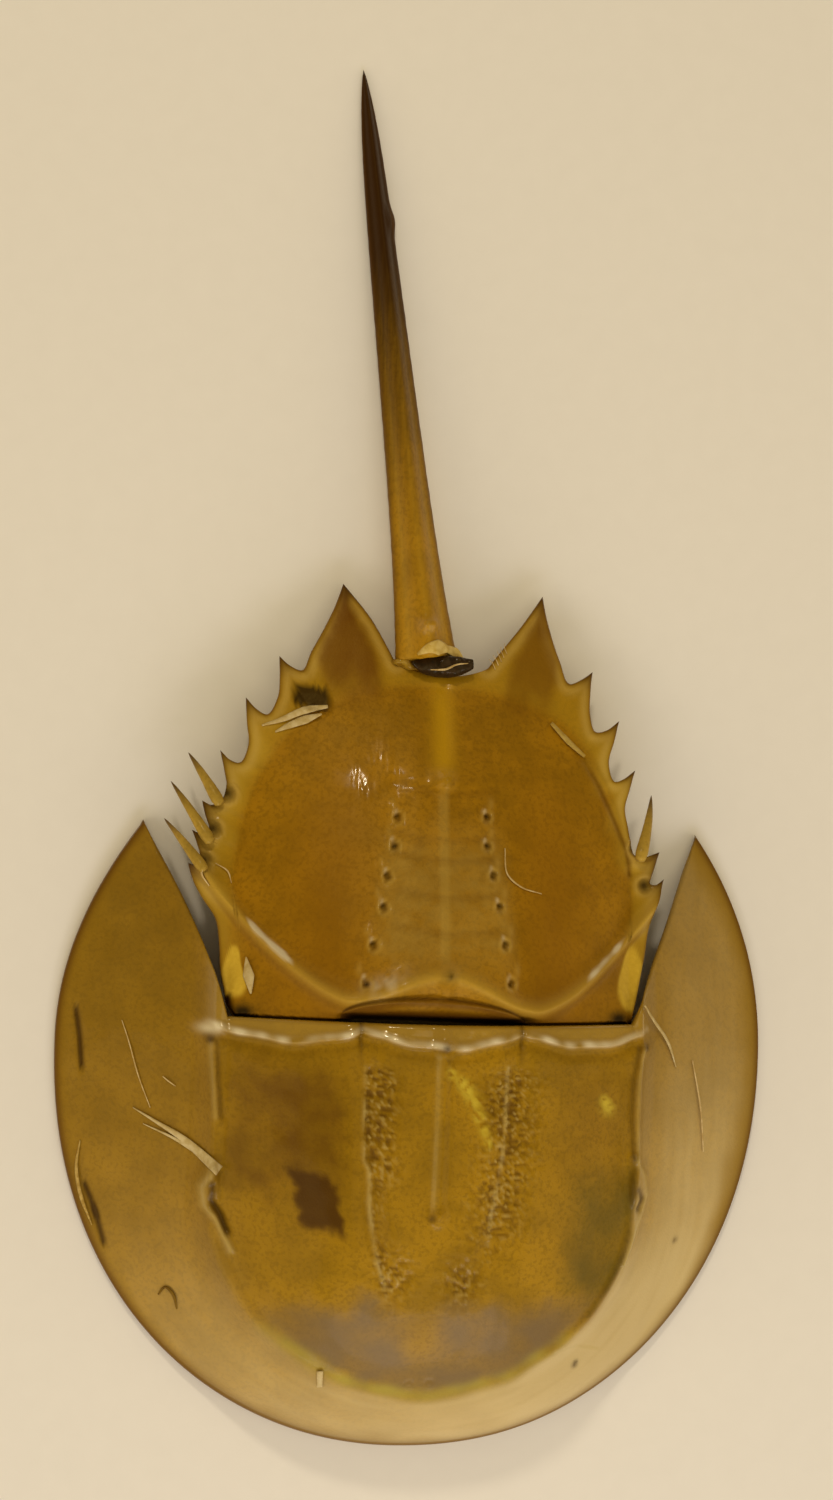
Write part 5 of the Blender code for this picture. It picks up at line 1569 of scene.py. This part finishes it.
dried_joint = strip("dried_joint", joint_floor,
                    [(-3.8, 17.5, 0.0), (-1.4, 17.0, 0.3), (1.9, 16.9, 0.4), (5.2, 17.2, 0.3),
                     (7.4, 17.6, 0.0)],
                    (0.4, 1.5, 1.9, 2.0, 1.7, 0.9), 1.0, TAIL)
joint_thread = strip("joint_thread", joint_floor,
                     [(-0.6, 16.3, 2.1), (2.2, 16.5, 2.3), (4.2, 17.4, 2.3), (6.4, 17.7, 2.0)],
                     (0.08, 0.2, 0.16, 0.08), 0.12, TAIL)
hairs.append(joint_thread)
joint_corner = strip("joint_corner", joint_floor,
                     [(-7.2, 17.7, -1.9), (-5.6, 17.5, -1.5), (-3.8, 17.3, -1.1), (-2.4, 17.1, -1.0)],
                     (0.3, 0.8, 1.2, 0.9), 0.5, TAIL)

# %% [markdown]
# Straws, hairs and scraps are dull and pale. One small function makes a two-tone finish for each group.

# %% Finishes of the small things


def small_finish(name, base, shade, roughness, pieces, coat=0.0, scale=700.0):
    """A streaky finish in two tones for small pieces."""
    material, shader, place = start_material(name, roughness, coat)
    streaks = grain(place, scale, 3.0)
    attach(blend_colour(streaks.between(0.3, 0.7), rgb(*base), rgb(*shade)), shader, "Base Color")
    bump = place.node("ShaderNodeBump", None, {"Strength": 0.4, "Distance": 0.0001, "Height": streaks})
    attach(bump, shader, "Normal")
    for piece in pieces:
        piece.data.materials.append(material)


named_straws = {piece.name: piece for piece in straws}
small_finish("straw_cream", (0.62, 0.50, 0.26), (0.48, 0.35, 0.13), 0.55,
             [piece for piece in straws if piece.name != "stick_rear"])
small_finish("straw_olive", (0.50, 0.36, 0.10), (0.40, 0.26, 0.05), 0.5, [named_straws["stick_rear"]])
dark_hairs = [piece for piece in hairs if piece.name == "curl_front_left"]
small_finish("hair_pale", (0.66, 0.50, 0.24), (0.48, 0.32, 0.11), 0.45,
             [piece for piece in hairs if piece not in dark_hairs])
small_finish("sliver_amber", (0.52, 0.36, 0.10), (0.34, 0.20, 0.03), 0.4, [slit_sliver], 0.3, 1200.0)
small_finish("joint_gold", (0.36, 0.22, 0.02), (0.20, 0.10, 0.005), 0.4, [joint_corner], 0.2, 900.0)
small_finish("curl_brown", (0.20, 0.11, 0.01), (0.12, 0.06, 0.005), 0.5, dark_hairs)
small_finish("scrap_cream", (0.70, 0.52, 0.16), (0.52, 0.34, 0.06), 0.4, [joint_scrap], 0.2)
small_finish("joint_black", (0.012, 0.007, 0.004), (0.03, 0.014, 0.006), 0.45, [dried_joint], 0.1, 900.0)
print("small finishes are on")

# %% [markdown]
# The shell lies on a plain pale table. The camera looks down on it from a little to the left.

# %% Table, camera and light
bm = bmesh.new()
bmesh.ops.create_grid(bm, x_segments=2, y_segments=2, size=2.0)
table_mesh = bpy.data.meshes.new("table")
bm.to_mesh(table_mesh)
bm.free()
table = bpy.data.objects.new("table", table_mesh)
bpy.context.scene.collection.objects.link(table)
material, shader, place = start_material("table_cream", 0.75, 0.0)
tone = blend_colour(grain(place, 240.0, 3.0), rgb(0.82, 0.79, 0.73), rgb(0.85, 0.82, 0.76))
attach(tone, shader, "Base Color")
table.data.materials.append(material)

CAMERA_TARGET = Vector((-0.6, 1.6, 0.0)) * MM
CAMERA_DISTANCE = 0.8
CAMERA_SIDE = math.radians(10.0)
CAMERA_ROLL = math.radians(1.8)
CAMERA_LENS = 103.8

back = Vector((-math.sin(CAMERA_SIDE), 0.0, math.cos(CAMERA_SIDE)))
level = Vector((0.0, 1.0, 0.0)).cross(back).normalized()
upward = back.cross(level)
right = level * math.cos(CAMERA_ROLL) + upward * math.sin(CAMERA_ROLL)
top = upward * math.cos(CAMERA_ROLL) - level * math.sin(CAMERA_ROLL)
stand = Matrix((right, top, back)).transposed().to_4x4()
stand.translation = CAMERA_TARGET + back * CAMERA_DISTANCE
camera = bpy.data.objects.new("camera", bpy.data.cameras.new("camera"))
camera.data.lens = CAMERA_LENS
camera.data.clip_start = 0.01
camera.matrix_world = stand
bpy.context.scene.collection.objects.link(camera)
bpy.context.scene.camera = camera


def soft_light(name, place, size, power, colour):
    """A soft oval light that points at the shell."""
    lamp = bpy.data.lights.new(name, "AREA")
    lamp.shape = "ELLIPSE"
    lamp.size, lamp.size_y = size
    lamp.energy = power
    lamp.color = colour
    holder = bpy.data.objects.new(name, lamp)
    holder.location = place
    holder.rotation_euler = (-Vector(place)).to_track_quat("-Z", "Y").to_euler()
    bpy.context.scene.collection.objects.link(holder)


soft_light("key_behind_left", (-0.22, 0.82, 0.9), (0.12, 0.12), 3.0, (1.0, 0.87, 0.66))
soft_light("overhead", (0.1, -0.25, 1.4), (1.3, 1.3), 3.2, (1.0, 0.85, 0.58))
soft_light("fill_right", (0.9, -0.45, 0.5), (0.8, 0.8), 2.0, (1.0, 0.84, 0.56))
soft_light("fill_left", (-0.85, -0.5, 0.5), (0.9, 0.8), 2.8, (1.0, 0.84, 0.56))
soft_light("window_front", (0.1, -0.95, 0.5), (0.9, 0.35), 4.1, (0.95, 0.93, 1.05))
world = bpy.data.worlds.new("room")
world.use_nodes = True
world.node_tree.nodes["Background"].inputs["Color"].default_value = (1.0, 0.83, 0.52, 1.0)
world.node_tree.nodes["Background"].inputs["Strength"].default_value = 0.3
bpy.context.scene.world = world
bpy.context.scene.view_settings.view_transform = "Standard"
print("camera stands at mm:", [round(value / MM) for value in camera.location])
